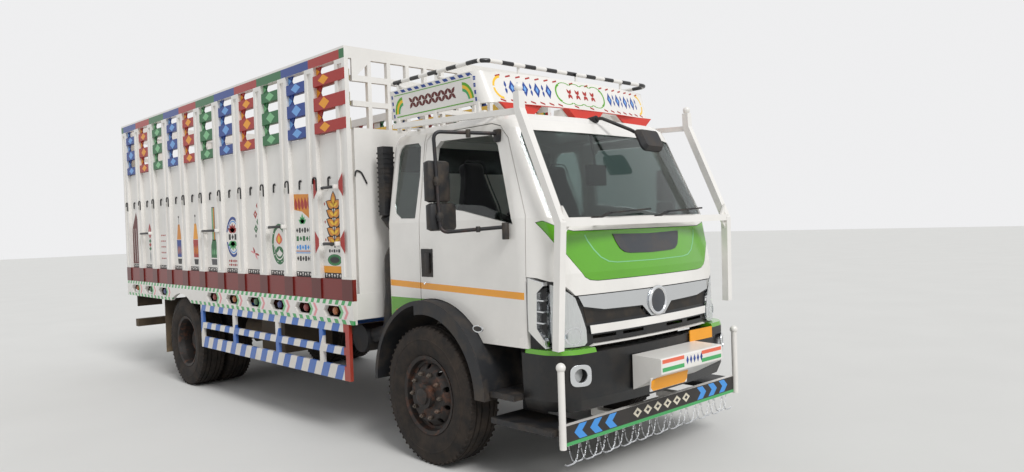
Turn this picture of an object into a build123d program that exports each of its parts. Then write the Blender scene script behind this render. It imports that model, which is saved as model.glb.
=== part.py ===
"""High-sided two-axle cargo truck with a forward-control cab and a decorated slatted load body.

Millimetres. Front of the truck faces -Y, the driver's side is -X and the ground is Z = 0.
The origin is under the middle of the truck's outline.
"""
import os
from build123d import *

os.makedirs("parts", exist_ok=True)

# Axles and wheels
FRONT_AXLE_Y = -2550
REAR_AXLE_Y = 2150
TYRE_RADIUS = 522
TYRE_WIDTH = 295
RIM_RADIUS = 286
FRONT_WHEEL_X = 990
REAR_OUTER_X = 1042
TWIN_SPACING = 330
KINGPIN_X = 815
STEERING_ARM = 200
TIE_ROD_Z = 470

# Chassis frame
RAIL_OUTER_X = 432
RAIL_FLANGE = 75
RAIL_PLATE = 8
RAIL_BOTTOM_Z = 720
RAIL_TOP_Z = 985
FRAME_FRONT_Y = -3740
FRAME_REAR_Y = 4040

# Load body
BODY_HALF = 1220
BODY_FRONT_Y = -1704
BODY_REAR_Y = 4119
DECK_BOTTOM_Z = 1150
DECK_TOP_Z = 1196
UNDER_RAIL_Z = 1000
WALL_INNER_X = 1150
POST_INNER_X = 1180
SILL_Z = 2620
TOP_RAIL_Z = 3209
BODY_TOP_Z = 3307
POST_COUNT = 12
POST_WIDTH = 160
BODY_LENGTH = BODY_REAR_Y - BODY_FRONT_Y
POST_PITCH = (BODY_LENGTH - POST_WIDTH) / (POST_COUNT - 1)

# Cab
CAB_WALL = 40
CAB_FLOOR_Z = 1270
CAB_ROOF_Z = 2580
ARCH_Y = -2540
ARCH_Z = 560
ARCH_RADIUS = 685
DOOR_GAP = 6
REAR_DOOR_GAP = 10
GRILLE_RECESS = 22
TRIM_PROUD = 6
GLASS_INSET = 12
GLASS_THICKNESS = 6

SIDES = (("right", -1), ("left", 1))


def save(builder, name):
    """Label a finished sub-part and write its STEP file."""
    builder.part.label = name
    export_step(builder.part, f"parts/{name}.step")


def block(x, y, z, mode=Mode.ADD):
    """A square-edged block between two x values, two y values and two z values."""
    middle = tuple((low + high) / 2 for low, high in (x, y, z))
    with Locations(middle):
        Box(abs(x[1] - x[0]), abs(y[1] - y[0]), abs(z[1] - z[0]), mode=mode)


def plate(plane, points, depth, mode=Mode.ADD):
    """A polygon drawn on a plane and pushed out along the plane's normal."""
    with BuildSketch(plane) as outline:
        Polygon(*points, align=None)
    extrude(outline.sketch, amount=depth, mode=mode)


def bar(start, end, width, height=None, mode=Mode.ADD):
    """A straight bar from start to end: round when only a width is given, else rectangular."""
    run = Vector(*end) - Vector(*start)
    with BuildSketch(Plane(origin=start, z_dir=run)) as section:
        if height:
            Rectangle(width, height)
        else:
            Circle(width / 2)
    extrude(section.sketch, amount=run.length, mode=mode)


def pipe(points, diameter, bend):
    """A round pipe through the points, with every corner bent to one radius."""
    with BuildLine() as route:
        FilletPolyline(*points, radius=bend)
    with BuildSketch(Plane(origin=route.line @ 0, z_dir=route.line % 0)) as section:
        Circle(diameter / 2)
    sweep(sections=section.sketch, path=route.line)


def square_tube(points, size):
    """A square tube through the points with mitred corners."""
    with BuildLine() as route:
        Polyline(*points)
    with BuildSketch(Plane(origin=route.line @ 0, x_dir=(1, 0, 0), z_dir=route.line % 0)) as section:
        Rectangle(size, size)
    sweep(sections=section.sketch, path=route.line, transition=Transition.RIGHT)


def mirrored(x, side):
    """A pair of x values on the given side, in rising order."""
    return sorted((side * x[0], side * x[1]))


# Chassis frame: two channel rails
with BuildPart() as chassis_rails:
    for name, side in SIDES:
        web = side * RAIL_OUTER_X
        lip = side * (RAIL_OUTER_X - RAIL_FLANGE)
        inner = side * (RAIL_OUTER_X - RAIL_PLATE)
        channel = [
            (web, RAIL_BOTTOM_Z),
            (web, RAIL_TOP_Z),
            (lip, RAIL_TOP_Z),
            (lip, RAIL_TOP_Z - RAIL_PLATE),
            (inner, RAIL_TOP_Z - RAIL_PLATE),
            (inner, RAIL_BOTTOM_Z + RAIL_PLATE),
            (lip, RAIL_BOTTOM_Z + RAIL_PLATE),
            (lip, RAIL_BOTTOM_Z),
        ]
        plate(Plane.XZ.offset(-FRAME_REAR_Y), channel, FRAME_REAR_Y - FRAME_FRONT_Y)
save(chassis_rails, "chassis_rails")

# Crossmembers between the rails, the first with two drop-forged tow eyes on its face
CROSSMEMBERS_Y = (-3700, -1300, -600, 700, 1560, 2740, 3970)
CROSSMEMBER_Z = (RAIL_BOTTOM_Z + 30, RAIL_TOP_Z - 30)
CROSSMEMBER_LIP = 60
TOW_EYE_X = 250
TOW_EYE_Y = -3745
TOW_EYE_Z = (640, 665)
TOW_EYE_RADIUS = 22
TOW_EYE_BOSS = 45

with BuildPart() as crossmembers:
    for y in CROSSMEMBERS_Y:
        reach = RAIL_OUTER_X - RAIL_PLATE
        block((-reach, reach), (y - RAIL_PLATE / 2, y + RAIL_PLATE / 2), CROSSMEMBER_Z)
        for low in (CROSSMEMBER_Z[0], CROSSMEMBER_Z[1] - RAIL_PLATE):
            block((-reach, reach), (y, y + CROSSMEMBER_LIP), (low, low + RAIL_PLATE))
    for name, side in SIDES:
        eye = (side * TOW_EYE_X, TOW_EYE_Y)
        boss = (side * TOW_EYE_X - TOW_EYE_BOSS, side * TOW_EYE_X + TOW_EYE_BOSS)
        face_y = CROSSMEMBERS_Y[0] - RAIL_PLATE / 2
        bar((*eye, TOW_EYE_Z[0]), (*eye, TOW_EYE_Z[1]), 2 * TOW_EYE_BOSS)
        block(boss, (TOW_EYE_Y, face_y), TOW_EYE_Z)
        block(boss, (face_y - 20, face_y), (TOW_EYE_Z[0], CROSSMEMBER_Z[0] + 60))
        bar((*eye, TOW_EYE_Z[0]), (*eye, TOW_EYE_Z[1]), 2 * TOW_EYE_RADIUS, mode=Mode.SUBTRACT)
save(crossmembers, "crossmembers")

# Leaf springs: a bowed pack under each rail, with hangers up to the rail
# axle y, axle seat z, half length, bow, leaf stack height, spring width
SPRINGS = (
    (FRONT_AXLE_Y, 560, 780, 90, 60, 76),
    (REAR_AXLE_Y, 600, 780, 60, 100, 84),
)
SPRING_X = 395

with BuildPart() as leaf_springs:
    for axle_y, seat_z, reach, bow, stack, width in SPRINGS:
        for name, side in SIDES:
            edge = side * SPRING_X - width / 2
            with BuildSketch(Plane.YZ.offset(edge)) as pack:
                with BuildLine():
                    top = ThreePointArc(
                        (axle_y - reach, seat_z + bow + 20),
                        (axle_y, seat_z + stack),
                        (axle_y + reach, seat_z + bow + 20),
                    )
                    Line(top @ 1, (axle_y + reach, seat_z + bow))
                    ThreePointArc(
                        (axle_y + reach, seat_z + bow),
                        (axle_y, seat_z),
                        (axle_y - reach, seat_z + bow),
                    )
                    Line((axle_y - reach, seat_z + bow), top @ 0)
                make_face()
            extrude(pack.sketch, amount=width)
            for end in (-1, 1):
                y = axle_y + end * (reach - 25)
                hanger_z = (seat_z + bow + 5, RAIL_BOTTOM_Z)
                block((edge, edge + width), (y - 25, y + 25), hanger_z)
save(leaf_springs, "leaf_springs")

# Front axle: a dropped forged beam between the kingpins
BEAM_EYE_Z = (470, 574)
BEAM_POINTS = (
    (-KINGPIN_X, 522), (-700, 520), (-560, 470), (560, 470), (700, 520), (KINGPIN_X, 522),
)
KINGPIN_RADIUS = 24

with BuildPart() as front_axle:
    upper = [(x, z + 45) for x, z in BEAM_POINTS]
    lower = [(x, z - 45) for x, z in reversed(BEAM_POINTS)]
    plate(Plane.XZ.offset(-FRONT_AXLE_Y - 45), upper + lower, 90)
    for name, side in SIDES:
        centre = (side * KINGPIN_X, FRONT_AXLE_Y, BEAM_EYE_Z[0])
        bar(centre, (centre[0], centre[1], BEAM_EYE_Z[1]), 110)
        bar((centre[0], centre[1], 405), (centre[0], centre[1], 639), 2 * KINGPIN_RADIUS)
        seat = mirrored((SPRING_X - 55, SPRING_X + 55), side)
        block(seat, (FRONT_AXLE_Y - 80, FRONT_AXLE_Y + 80), (500, 560))
save(front_axle, "front_axle")

# Knuckles: a fork round the kingpin, the wheel spindle and an arm back to the tie rod
for name, side in SIDES:
    with BuildPart() as knuckle:
        x = side * KINGPIN_X
        for low, high in ((420, 464), (580, 624)):
            bar((x, FRONT_AXLE_Y, low), (x, FRONT_AXLE_Y, high), 108)
        fork = mirrored((KINGPIN_X + 62, KINGPIN_X + 84), side)
        block(fork, (FRONT_AXLE_Y - 50, FRONT_AXLE_Y + 50), (420, 624))
        for low, high in ((420, 464), (580, 624)):
            cheek = mirrored((KINGPIN_X, KINGPIN_X + 84), side)
            block(cheek, (FRONT_AXLE_Y - 50, FRONT_AXLE_Y + 50), (low, high))
        spindle_start = (side * (KINGPIN_X + 84), FRONT_AXLE_Y, TYRE_RADIUS)
        spindle_end = (side * (FRONT_WHEEL_X + 60), FRONT_AXLE_Y, TYRE_RADIUS)
        bar(spindle_start, spindle_end, 70)
        arm = (x - 18, x + 18)
        block(arm, (FRONT_AXLE_Y + 30, FRONT_AXLE_Y + STEERING_ARM + 22), (424, 448))
        bar((x, FRONT_AXLE_Y, 400), (x, FRONT_AXLE_Y, 650), 2 * KINGPIN_RADIUS + 0.1, mode=Mode.SUBTRACT)
        eye = (x, FRONT_AXLE_Y + STEERING_ARM)
        bar((*eye, 420), (*eye, 452), 24.1, mode=Mode.SUBTRACT)
    save(knuckle, f"knuckle_{name}")

# Tie rod: a tube across the truck with a ball pin down into each steering arm
with BuildPart() as tie_rod:
    rod_y = FRONT_AXLE_Y + STEERING_ARM
    bar((-KINGPIN_X - 20, rod_y, TIE_ROD_Z), (KINGPIN_X + 20, rod_y, TIE_ROD_Z), 38)
    bar((-KINGPIN_X, rod_y, 425), (-KINGPIN_X, rod_y, TIE_ROD_Z), 24)
    bar((KINGPIN_X, rod_y, 454), (KINGPIN_X, rod_y, TIE_ROD_Z), 24)
save(tie_rod, "tie_rod")

# Rear axle: banjo housing, tubes out to the hubs and the spring seats
HUB_END_X = 640

with BuildPart() as rear_axle:
    with Locations((0, REAR_AXLE_Y, TYRE_RADIUS)):
        Sphere(215)
        Cylinder(75, 2 * HUB_END_X, rotation=(0, 90, 0))
    for name, side in SIDES:
        bar((side * 180, REAR_AXLE_Y, TYRE_RADIUS), (side * 300, REAR_AXLE_Y, TYRE_RADIUS), 230)
        seat = mirrored((SPRING_X - 60, SPRING_X + 60), side)
        block(seat, (REAR_AXLE_Y - 90, REAR_AXLE_Y + 90), (500, 600))
    bar((0, REAR_AXLE_Y - 330, 560), (0, REAR_AXLE_Y - 150, 545), 150)
save(rear_axle, "rear_axle")

# Propeller shaft from the gearbox to the rear axle, with a centre bearing under a crossmember
with BuildPart() as propeller_shaft:
    bar((0, -1397, 700), (0, 700, 690), 90)
    bar((0, 700, 690), (0, REAR_AXLE_Y - 336, 562), 90)
    block((-90, 90), (660, 760), (640, RAIL_BOTTOM_Z + 30))
save(propeller_shaft, "propeller_shaft")

# Engine and gearbox: one plain heavy block under the cab floor
with BuildPart() as engine_block:
    block((-340, 340), (-3330, -2330), (640, 1220))
    block((-200, 200), (-2330, -1650), (600, 940))
    bar((0, -1650, 700), (0, -1400, 700), 150)
save(engine_block, "engine_block")


# Wheels: profiles are drawn with x outward along the axle and y as the radius
def wheel_plane(side, x, y):
    """The plane through an axle's centre in which a wheel's profile is drawn."""
    centre = (side * x, y, TYRE_RADIUS)
    return Plane(origin=centre, x_dir=(side, 0, 0), z_dir=(0, -side, 0))


def axle_line(y):
    """The line that a wheel turns about."""
    return Axis((0, y, TYRE_RADIUS), (1, 0, 0))


# Half of the tyre's outline ahead of its walls: x outward, radius
TREAD_EDGE = ((TYRE_WIDTH / 2 - 16, 492), (TYRE_WIDTH / 2 - 26, 512), (62, TYRE_RADIUS))
BEAD_X = 104


def add_tyre(side, x, y):
    """A radial tyre: two bulged walls, two shoulders and a flat crown."""
    half = TYRE_WIDTH / 2
    wall_end, shoulder, crown_edge = TREAD_EDGE
    with BuildSketch(wheel_plane(side, x, y)) as section:
        with BuildLine():
            Line((-BEAD_X, RIM_RADIUS), (BEAD_X, RIM_RADIUS))
            ThreePointArc((BEAD_X, RIM_RADIUS), (half, 390), wall_end)
            Polyline(
                wall_end, shoulder, crown_edge, (-crown_edge[0], crown_edge[1]),
                (-shoulder[0], shoulder[1]), (-wall_end[0], wall_end[1]),
            )
            ThreePointArc((-wall_end[0], wall_end[1]), (-half, 390), (-BEAD_X, RIM_RADIUS))
        make_face()
    revolve(section.sketch, axis=axle_line(y))


# Rim barrel section, in millimetres outward from the rim's middle and of radius
RIM_BARREL = (
    (-104, 286), (-118, 300), (-127, 300), (-120, 270), (-60, 258), (60, 258),
    (120, 270), (127, 300), (118, 300), (104, 286), (70, 272), (-70, 272),
)
BOLT_CIRCLE = 167
HAND_HOLE_CIRCLE = 205


def add_rim(side, x, y, disc_x, dish):
    """A rim barrel with a dished disc whose centre lies disc_x outward of the rim's middle."""
    section_plane = wheel_plane(side, x, y)
    with BuildSketch(section_plane) as barrel:
        Polygon(*RIM_BARREL, align=None)
    revolve(barrel.sketch, axis=axle_line(y))
    disc = [
        (disc_x, 82), (disc_x + 12, 82), (disc_x + 12, 190), (dish + 12, 240),
        (dish + 12, 262), (dish, 262), (dish, 236), (disc_x, 186),
    ]
    with BuildSketch(section_plane) as web:
        Polygon(*disc, align=None)
    revolve(web.sketch, axis=axle_line(y))
    hole_plane = Plane(origin=(side * (x + dish - 60), y, TYRE_RADIUS), z_dir=(side, 0, 0))
    with BuildSketch(hole_plane) as holes:
        with PolarLocations(HAND_HOLE_CIRCLE + 10, 10):
            Circle(20)
    extrude(holes.sketch, amount=disc_x - dish + 160 if disc_x > dish else 200, mode=Mode.SUBTRACT)


for name, side in SIDES:
    with BuildPart() as tyre:
        add_tyre(side, FRONT_WHEEL_X, FRONT_AXLE_Y)
    save(tyre, f"tyre_front_{name}")

    with BuildPart() as rim:
        add_rim(side, FRONT_WHEEL_X, FRONT_AXLE_Y, 120, 70)
        hub_start = side * (FRONT_WHEEL_X - 60)
        hub_end = side * (FRONT_WHEEL_X + 175)
        bar((hub_start, FRONT_AXLE_Y, TYRE_RADIUS), (hub_end, FRONT_AXLE_Y, TYRE_RADIUS), 190)
        flange_start = side * (FRONT_WHEEL_X + 95)
        flange_end = side * (FRONT_WHEEL_X + 120)
        bar((flange_start, FRONT_AXLE_Y, TYRE_RADIUS), (flange_end, FRONT_AXLE_Y, TYRE_RADIUS), 380)
        drum_start = side * (FRONT_WHEEL_X - 80)
        bar((drum_start, FRONT_AXLE_Y, TYRE_RADIUS), (flange_start, FRONT_AXLE_Y, TYRE_RADIUS), 300)
        bore_start = side * (KINGPIN_X + 60)
        bore_end = side * (FRONT_WHEEL_X + 64)
        bar((bore_start, FRONT_AXLE_Y, TYRE_RADIUS), (bore_end, FRONT_AXLE_Y, TYRE_RADIUS), 74, mode=Mode.SUBTRACT)
    save(rim, f"rim_front_{name}")

    with BuildPart() as twin_tyres:
        for x in (REAR_OUTER_X - TWIN_SPACING, REAR_OUTER_X):
            add_tyre(side, x, REAR_AXLE_Y)
    save(twin_tyres, f"tyres_rear_{name}")

    with BuildPart() as twin_rims:
        add_rim(side, REAR_OUTER_X, REAR_AXLE_Y, -165, -60)
        add_rim(-side, TWIN_SPACING - REAR_OUTER_X, REAR_AXLE_Y, -165, -60)
        hub_start = side * (HUB_END_X + 30)
        hub_end = side * (REAR_OUTER_X + 20)
        bar((hub_start, REAR_AXLE_Y, TYRE_RADIUS), (hub_end, REAR_AXLE_Y, TYRE_RADIUS), 230)
        drum_end = side * (REAR_OUTER_X - 200)
        bar((hub_start, REAR_AXLE_Y, TYRE_RADIUS), (drum_end, REAR_AXLE_Y, TYRE_RADIUS), 400)
        flange_start = side * (REAR_OUTER_X - 178)
        flange_end = side * (REAR_OUTER_X - 152)
        bar((flange_start, REAR_AXLE_Y, TYRE_RADIUS), (flange_end, REAR_AXLE_Y, TYRE_RADIUS), 380)
    save(twin_rims, f"rims_rear_{name}")

# Cab outline at each height
# height, half width, rear y, y where the side starts to turn, corner x, corner y, front y
CAB_SECTIONS = (
    (955, 1020, -1920, -3480, 830, -3800, -3870),
    (1450, 1020, -1920, -3480, 830, -3790, -3860),
    (1830, 1016, -1920, -3460, 850, -3700, -3775),
    (2465, 930, -1935, -3270, 800, -3385, -3440),
    (2530, 905, -1955, -3245, 775, -3350, -3405),
    (CAB_ROOF_Z, 850, -2010, -3190, 720, -3290, -3340),
)


SMALLEST_CORNER = 10


def nose_form(rows, inset, low=0, roof=0, corner_radius=70):
    """A form with a rounded nose, taken inwards by inset, lowered at its base and at its roof."""
    sections = []
    for level, half, rear, shoulder, corner_x, corner_y, front in rows:
        height = level - low if level == rows[0][0] else level
        if level == rows[-1][0]:
            height = level - roof
        side_x = half - inset
        corner = corner_x - 0.6 * inset
        with BuildSketch(Plane.XY.offset(height)) as section:
            with BuildLine():
                Line((-side_x, rear - inset), (-side_x, shoulder + 0.3 * inset))
                TangentArc(
                    (-side_x, shoulder + 0.3 * inset), (-corner, corner_y + 0.8 * inset),
                    tangent=(0, -1),
                )
                ThreePointArc(
                    (-corner, corner_y + 0.8 * inset), (0, front + inset),
                    (corner, corner_y + 0.8 * inset),
                )
                TangentArc(
                    (side_x, shoulder + 0.3 * inset), (corner, corner_y + 0.8 * inset),
                    tangent=(0, -1),
                )
                Line((side_x, shoulder + 0.3 * inset), (side_x, rear - inset))
                Line((side_x, rear - inset), (-side_x, rear - inset))
            make_face()
            rounding = max(corner_radius - 0.6 * inset, SMALLEST_CORNER)
            fillet(section.vertices().group_by(Axis.Y)[-1], radius=rounding)
        sections.append(section.sketch)
    with BuildPart() as form:
        loft(sections, ruled=True)
    return form.part


cab_outer = nose_form(CAB_SECTIONS, 0)
cab_inner = nose_form(CAB_SECTIONS, CAB_WALL, low=40, roof=CAB_WALL)
grille_front = nose_form(CAB_SECTIONS, GRILLE_RECESS)
trim_front = nose_form(CAB_SECTIONS, -TRIM_PROUD)
glass_outside = nose_form(CAB_SECTIONS, GLASS_INSET)
glass_inside = nose_form(CAB_SECTIONS, GLASS_INSET + GLASS_THICKNESS, low=20, roof=20)

with BuildPart() as cab_skin:
    add(cab_outer)
    add(cab_inner, mode=Mode.SUBTRACT)

DOOR_TOP_Z = 2510

# Outlines on the cab's side, as (y, z)
DOOR_OUTLINE = (
    (-3545, 955), (-3545, 1840), (-3330, 2395), (-3250, 2482), (-3150, DOOR_TOP_Z),
    (-2450, DOOR_TOP_Z), (-2410, 2466), (-2385, 1900), (-2385, 1150), (-2700, 955),
)
DOOR_WINDOW = (
    (-3440, 1790), (-3240, 2350), (-3170, 2428), (-2580, 2444), (-2525, 2395),
    (-2490, 1950), (-2900, 1900),
)
QUARTER_WINDOW = (
    (-2325, 1862), (-2350, 2200), (-2334, 2425), (-2296, 2458), (-2108, 2462), (-2058, 2430),
    (-2035, 2375), (-2022, 1990), (-2046, 1912), (-2125, 1866),
)
# Outlines on the cab's front, as (x, z), right half only
WINDSCREEN = (
    (-880, 1824), (-893, 1850), (-893, 2320), (-886, 2392), (-856, 2436), (-780, 2450),
)
FRONT_PANEL = (
    (-600, 1393), (-670, 1402), (-712, 1424), (-792, 1526), (-896, 1662), (-966, 1796),
    (-940, 1806), (-850, 1756), (-740, 1730),
)
GRILLE = ((-640, 972), (-696, 985), (-712, 1060), (-750, 1175), (-800, 1300))
LAMP_BAY = (
    (-640, 972), (-690, 955), (-1100, 955), (-1100, 1462), (-930, 1412), (-862, 1364), (-804, 1306),
    (-780, 1300), (-730, 1175), (-700, 1060),
)
LAMP_LENS = (
    (-722, 985), (-745, 966), (-940, 966), (-940, 1384), (-870, 1340), (-806, 1288), (-757, 1175),
    (-724, 1070),
)
# Outlines on the front corner, seen from the side, as (y, z)
CORNER_BAY = ((-3551, 955), (-3551, 1455), (-3700, 1404), (-3900, 1404), (-3900, 955))
CORNER_VANE = (
    (-3572, 1432), (-3668, 1402), (-3672, 1376), (-3634, 1332), (-3628, 1096), (-3674, 1012),
    (-3678, 962), (-3568, 1075), (-3566, 1216),
)
VANE_FINS_Z = (1130, 1205, 1280)


CUTTER_LENGTH = 700
PANEL_REAR = 3556


def both_halves(outline):
    """Close a half outline with its own mirror image across the truck's middle."""
    return list(outline) + [(-x, z) for x, z in reversed(outline)]


def side_cutter(outline, side, gap=0, arch=False):
    """A prism through one cab side with the given outline, grown by a gap."""
    with BuildPart() as cutter:
        with BuildSketch(Plane.YZ.offset(side * 780)) as shape:
            Polygon(*outline, align=None)
            if gap:
                offset(amount=gap, kind=Kind.INTERSECTION)
            if arch:
                with Locations((ARCH_Y, ARCH_Z)):
                    Circle(ARCH_RADIUS - gap, mode=Mode.SUBTRACT)
        extrude(amount=side * 320)
    return cutter.part


def front_cutter(outline, gap=0, near=3250):
    """A prism through the cab's front with the given outline, grown by a gap, from y = -near on."""
    with BuildPart() as cutter:
        with BuildSketch(Plane.XZ.offset(near)) as shape:
            Polygon(*outline, align=None)
            if gap:
                offset(amount=gap, kind=Kind.INTERSECTION)
        extrude(amount=CUTTER_LENGTH)
    return cutter.part


def on_side(outline, side):
    """A front outline drawn for the right-hand side, moved to the given side."""
    return [(-side * x, z) for x, z in outline]


# Lamp bays: the room each front corner leaves for its lamp, its black surround and its vane
CORNER_REACH = (600, 1100)
lamp_bays = {}
for name, side in SIDES:
    with BuildPart() as bay:
        add(front_cutter(on_side(LAMP_BAY, side)))
        with BuildSketch(Plane.YZ.offset(side * CORNER_REACH[0])) as corner:
            Polygon(*CORNER_BAY, align=None)
        extrude(corner.sketch, amount=side * (CORNER_REACH[1] - CORNER_REACH[0]), mode=Mode.INTERSECT)
    lamp_bays[name] = bay.part

# Cab shell: the skin with its floor, less the doors, windows, grille and lamps
with BuildPart() as cab_floor:
    add(cab_inner)
    floor_span = (CAB_FLOOR_Z, CAB_FLOOR_Z + 30)
    block((-1100, 1100), (-4000, -1800), floor_span, mode=Mode.INTERSECT)

with BuildPart() as cab_shell:
    add(cab_skin.part)
    add(cab_floor.part)
    for name, side in SIDES:
        add(side_cutter(DOOR_OUTLINE, side, DOOR_GAP), mode=Mode.SUBTRACT)
        add(side_cutter(QUARTER_WINDOW, side), mode=Mode.SUBTRACT)
        rear_gap = (-2385, -2385 + REAR_DOOR_GAP)
        block(mirrored((700, 1100), side), rear_gap, (1000, DOOR_TOP_Z + DOOR_GAP), mode=Mode.SUBTRACT)
    block((-500, 500), (-2100, -1800), (900, 1010), mode=Mode.SUBTRACT)
    add(front_cutter(both_halves(WINDSCREEN)), mode=Mode.SUBTRACT)
    add(front_cutter(both_halves(FRONT_PANEL), 4, PANEL_REAR), mode=Mode.SUBTRACT)
    add(front_cutter(both_halves(GRILLE), 4), mode=Mode.SUBTRACT)
    for name, side in SIDES:
        add(lamp_bays[name], mode=Mode.SUBTRACT)
        with Locations((side * 900, ARCH_Y, ARCH_Z)):
            Cylinder(ARCH_RADIUS, 600, rotation=(0, 90, 0), mode=Mode.SUBTRACT)
save(cab_shell, "cab_shell")

# Doors: the skin inside the door outline, with the wheel arch, the window and the handle recess cut out
HANDLE_Y = (-2544, -2400)
HANDLE_Z = (1408, 1624)
HANDLE_DEPTH = 22
CAB_HALF = 1020

for name, side in SIDES:
    with BuildPart() as door:
        add(cab_skin.part)
        add(side_cutter(DOOR_OUTLINE, side, arch=True), mode=Mode.INTERSECT)
        add(side_cutter(DOOR_WINDOW, side), mode=Mode.SUBTRACT)
        recess = mirrored((CAB_HALF - HANDLE_DEPTH, CAB_HALF + 40), side)
        block(recess, HANDLE_Y, HANDLE_Z, mode=Mode.SUBTRACT)
        pull = mirrored((CAB_HALF - HANDLE_DEPTH + 6, CAB_HALF + 2), side)
        block(pull, (HANDLE_Y[0] + 20, HANDLE_Y[0] + 48), HANDLE_Z)
    save(door, f"door_{name}")

# Glass: one thin curved sheet, cut to each window
with BuildPart() as glass_sheet:
    add(glass_outside)
    add(glass_inside, mode=Mode.SUBTRACT)

SEAL = 3
LOWERED_GLASS = ((-3440, 1790), (-3390, 1850), (-3100, 1935), (-2750, 1960), (-2540, 1950), (-2900, 1900))
door_panes = {"right": LOWERED_GLASS, "left": DOOR_WINDOW}

with BuildPart() as panes:
    add(front_cutter(both_halves(WINDSCREEN), -SEAL))
    for name, side in SIDES:
        add(side_cutter(QUARTER_WINDOW, side, -SEAL))

with BuildPart() as cab_glass:
    add(glass_sheet.part)
    add(panes.part, mode=Mode.INTERSECT)
save(cab_glass, "cab_glass")

for name, side in SIDES:
    with BuildPart() as door_glass:
        add(glass_sheet.part)
        add(side_cutter(door_panes[name], side, -SEAL), mode=Mode.INTERSECT)
    save(door_glass, f"door_glass_{name}")

# Front flap, grille, trim and headlamps, all cut from the same nose
with BuildPart() as front_panel:
    add(cab_skin.part)
    add(front_cutter(both_halves(FRONT_PANEL), near=PANEL_REAR), mode=Mode.INTERSECT)
save(front_panel, "front_panel")

GRILLE_SLOTS_Z = (1000, 1112, 1146)
GRILLE_SLOTS_X = (-540, -250, 250, 540)
SLOT_HALF = 110
SLOT_HEIGHT = 22
BUCKET_DEPTH = 120
BUCKET_WALL = 8
LENS_GAP = 2

with BuildPart() as grille_opening:
    add(front_cutter(both_halves(GRILLE)))
    for name, side in SIDES:
        add(lamp_bays[name])

with BuildPart() as bucket_skin:
    add(grille_front)
    add(nose_form(CAB_SECTIONS, BUCKET_DEPTH + BUCKET_WALL, low=200, roof=200), mode=Mode.SUBTRACT)

with BuildPart() as bucket_room:
    add(nose_form(CAB_SECTIONS, -2 * TRIM_PROUD))
    add(nose_form(CAB_SECTIONS, BUCKET_DEPTH, low=200, roof=200), mode=Mode.SUBTRACT)

with BuildPart() as grille:
    add(grille_front)
    add(cab_inner, mode=Mode.SUBTRACT)
    add(grille_opening.part, mode=Mode.INTERSECT)
    for z in GRILLE_SLOTS_Z:
        for x in GRILLE_SLOTS_X:
            slot = (x - SLOT_HALF, x + SLOT_HALF)
            block(slot, (-4000, -3500), (z, z + SLOT_HEIGHT), mode=Mode.SUBTRACT)
    for name, side in SIDES:
        bucket = front_cutter(on_side(LAMP_LENS, side), BUCKET_WALL)
        pocket = front_cutter(on_side(LAMP_LENS, side), LENS_GAP)
        add(bucket_skin.part.intersect(bucket))
        add(bucket_room.part.intersect(pocket), mode=Mode.SUBTRACT)
save(grille, "grille")

LOWER_STRIP = ((-688, 1038), (-697, 1096))
UPPER_STRIP = ((-784, 1298), (-742, 1226), (-560, 1194), (-175, 1186), (-80, 1102))
VANE_PROUD = 14

with BuildPart() as trim_strips:
    add(front_cutter(both_halves(UPPER_STRIP)))
    add(front_cutter(both_halves(LOWER_STRIP)))

with BuildPart() as vane_skin:
    add(nose_form(CAB_SECTIONS, -VANE_PROUD))
    add(grille_front, mode=Mode.SUBTRACT)

with BuildPart() as grille_trim:
    add(trim_front)
    add(grille_front, mode=Mode.SUBTRACT)
    add(trim_strips.part, mode=Mode.INTERSECT)
    for name, side in SIDES:
        add(vane_skin.part.intersect(side_cutter(CORNER_VANE, side)))
        for z in VANE_FINS_Z:
            fin = ((-3626, z), (-3668, z - 6), (-3668, z + 4), (-3626, z + 10))
            add(vane_skin.part.intersect(side_cutter(fin, side)))
    add(cab_shell.part, mode=Mode.SUBTRACT)
save(grille_trim, "grille_trim")

FOG_LAMP = (847, 788, 52)
LENS_THICKNESS = 5

with BuildPart() as lens_sheet:
    add(cab_outer)
    add(nose_form(CAB_SECTIONS, LENS_THICKNESS, low=20, roof=20), mode=Mode.SUBTRACT)

with BuildPart() as lens_shapes:
    for name, side in SIDES:
        add(front_cutter(on_side(LAMP_LENS, side)))

with BuildPart() as front_lamps:
    add(lens_sheet.part)
    add(lens_shapes.part, mode=Mode.INTERSECT)
    for name, side in SIDES:
        fog_x, fog_z, fog_radius = FOG_LAMP
        bar((side * fog_x, -3830, fog_z), (side * fog_x, -3740, fog_z), 2 * fog_radius - 1)
save(front_lamps, "front_lamps")

# Bumper: a wrap-round moulding with a central mouth and a socket for each fog lamp
# height, half width, rear y, y where the side starts to turn, corner x, corner y, front y
BUMPER_SECTIONS = (
    (545, 975, -3300, -3620, 820, -3830, -3885),
    (620, 1000, -3300, -3640, 840, -3855, -3915),
    (925, 1010, -3300, -3640, 850, -3860, -3920),
)
BUMPER_CORNERS = (
    (925, 1010, -3480, -3640, 850, -3860, -3920),
    (955, 1004, -3480, -3640, 845, -3850, -3905),
)
BUMPER_WALL = 30
BUMPER_MOUTH = ((-320, 640), (-345, 780), (-320, 860))

bumper_outer = nose_form(BUMPER_SECTIONS, 0, corner_radius=50)
bumper_inner = nose_form(BUMPER_SECTIONS, BUMPER_WALL, low=20, roof=BUMPER_WALL, corner_radius=50)

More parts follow.
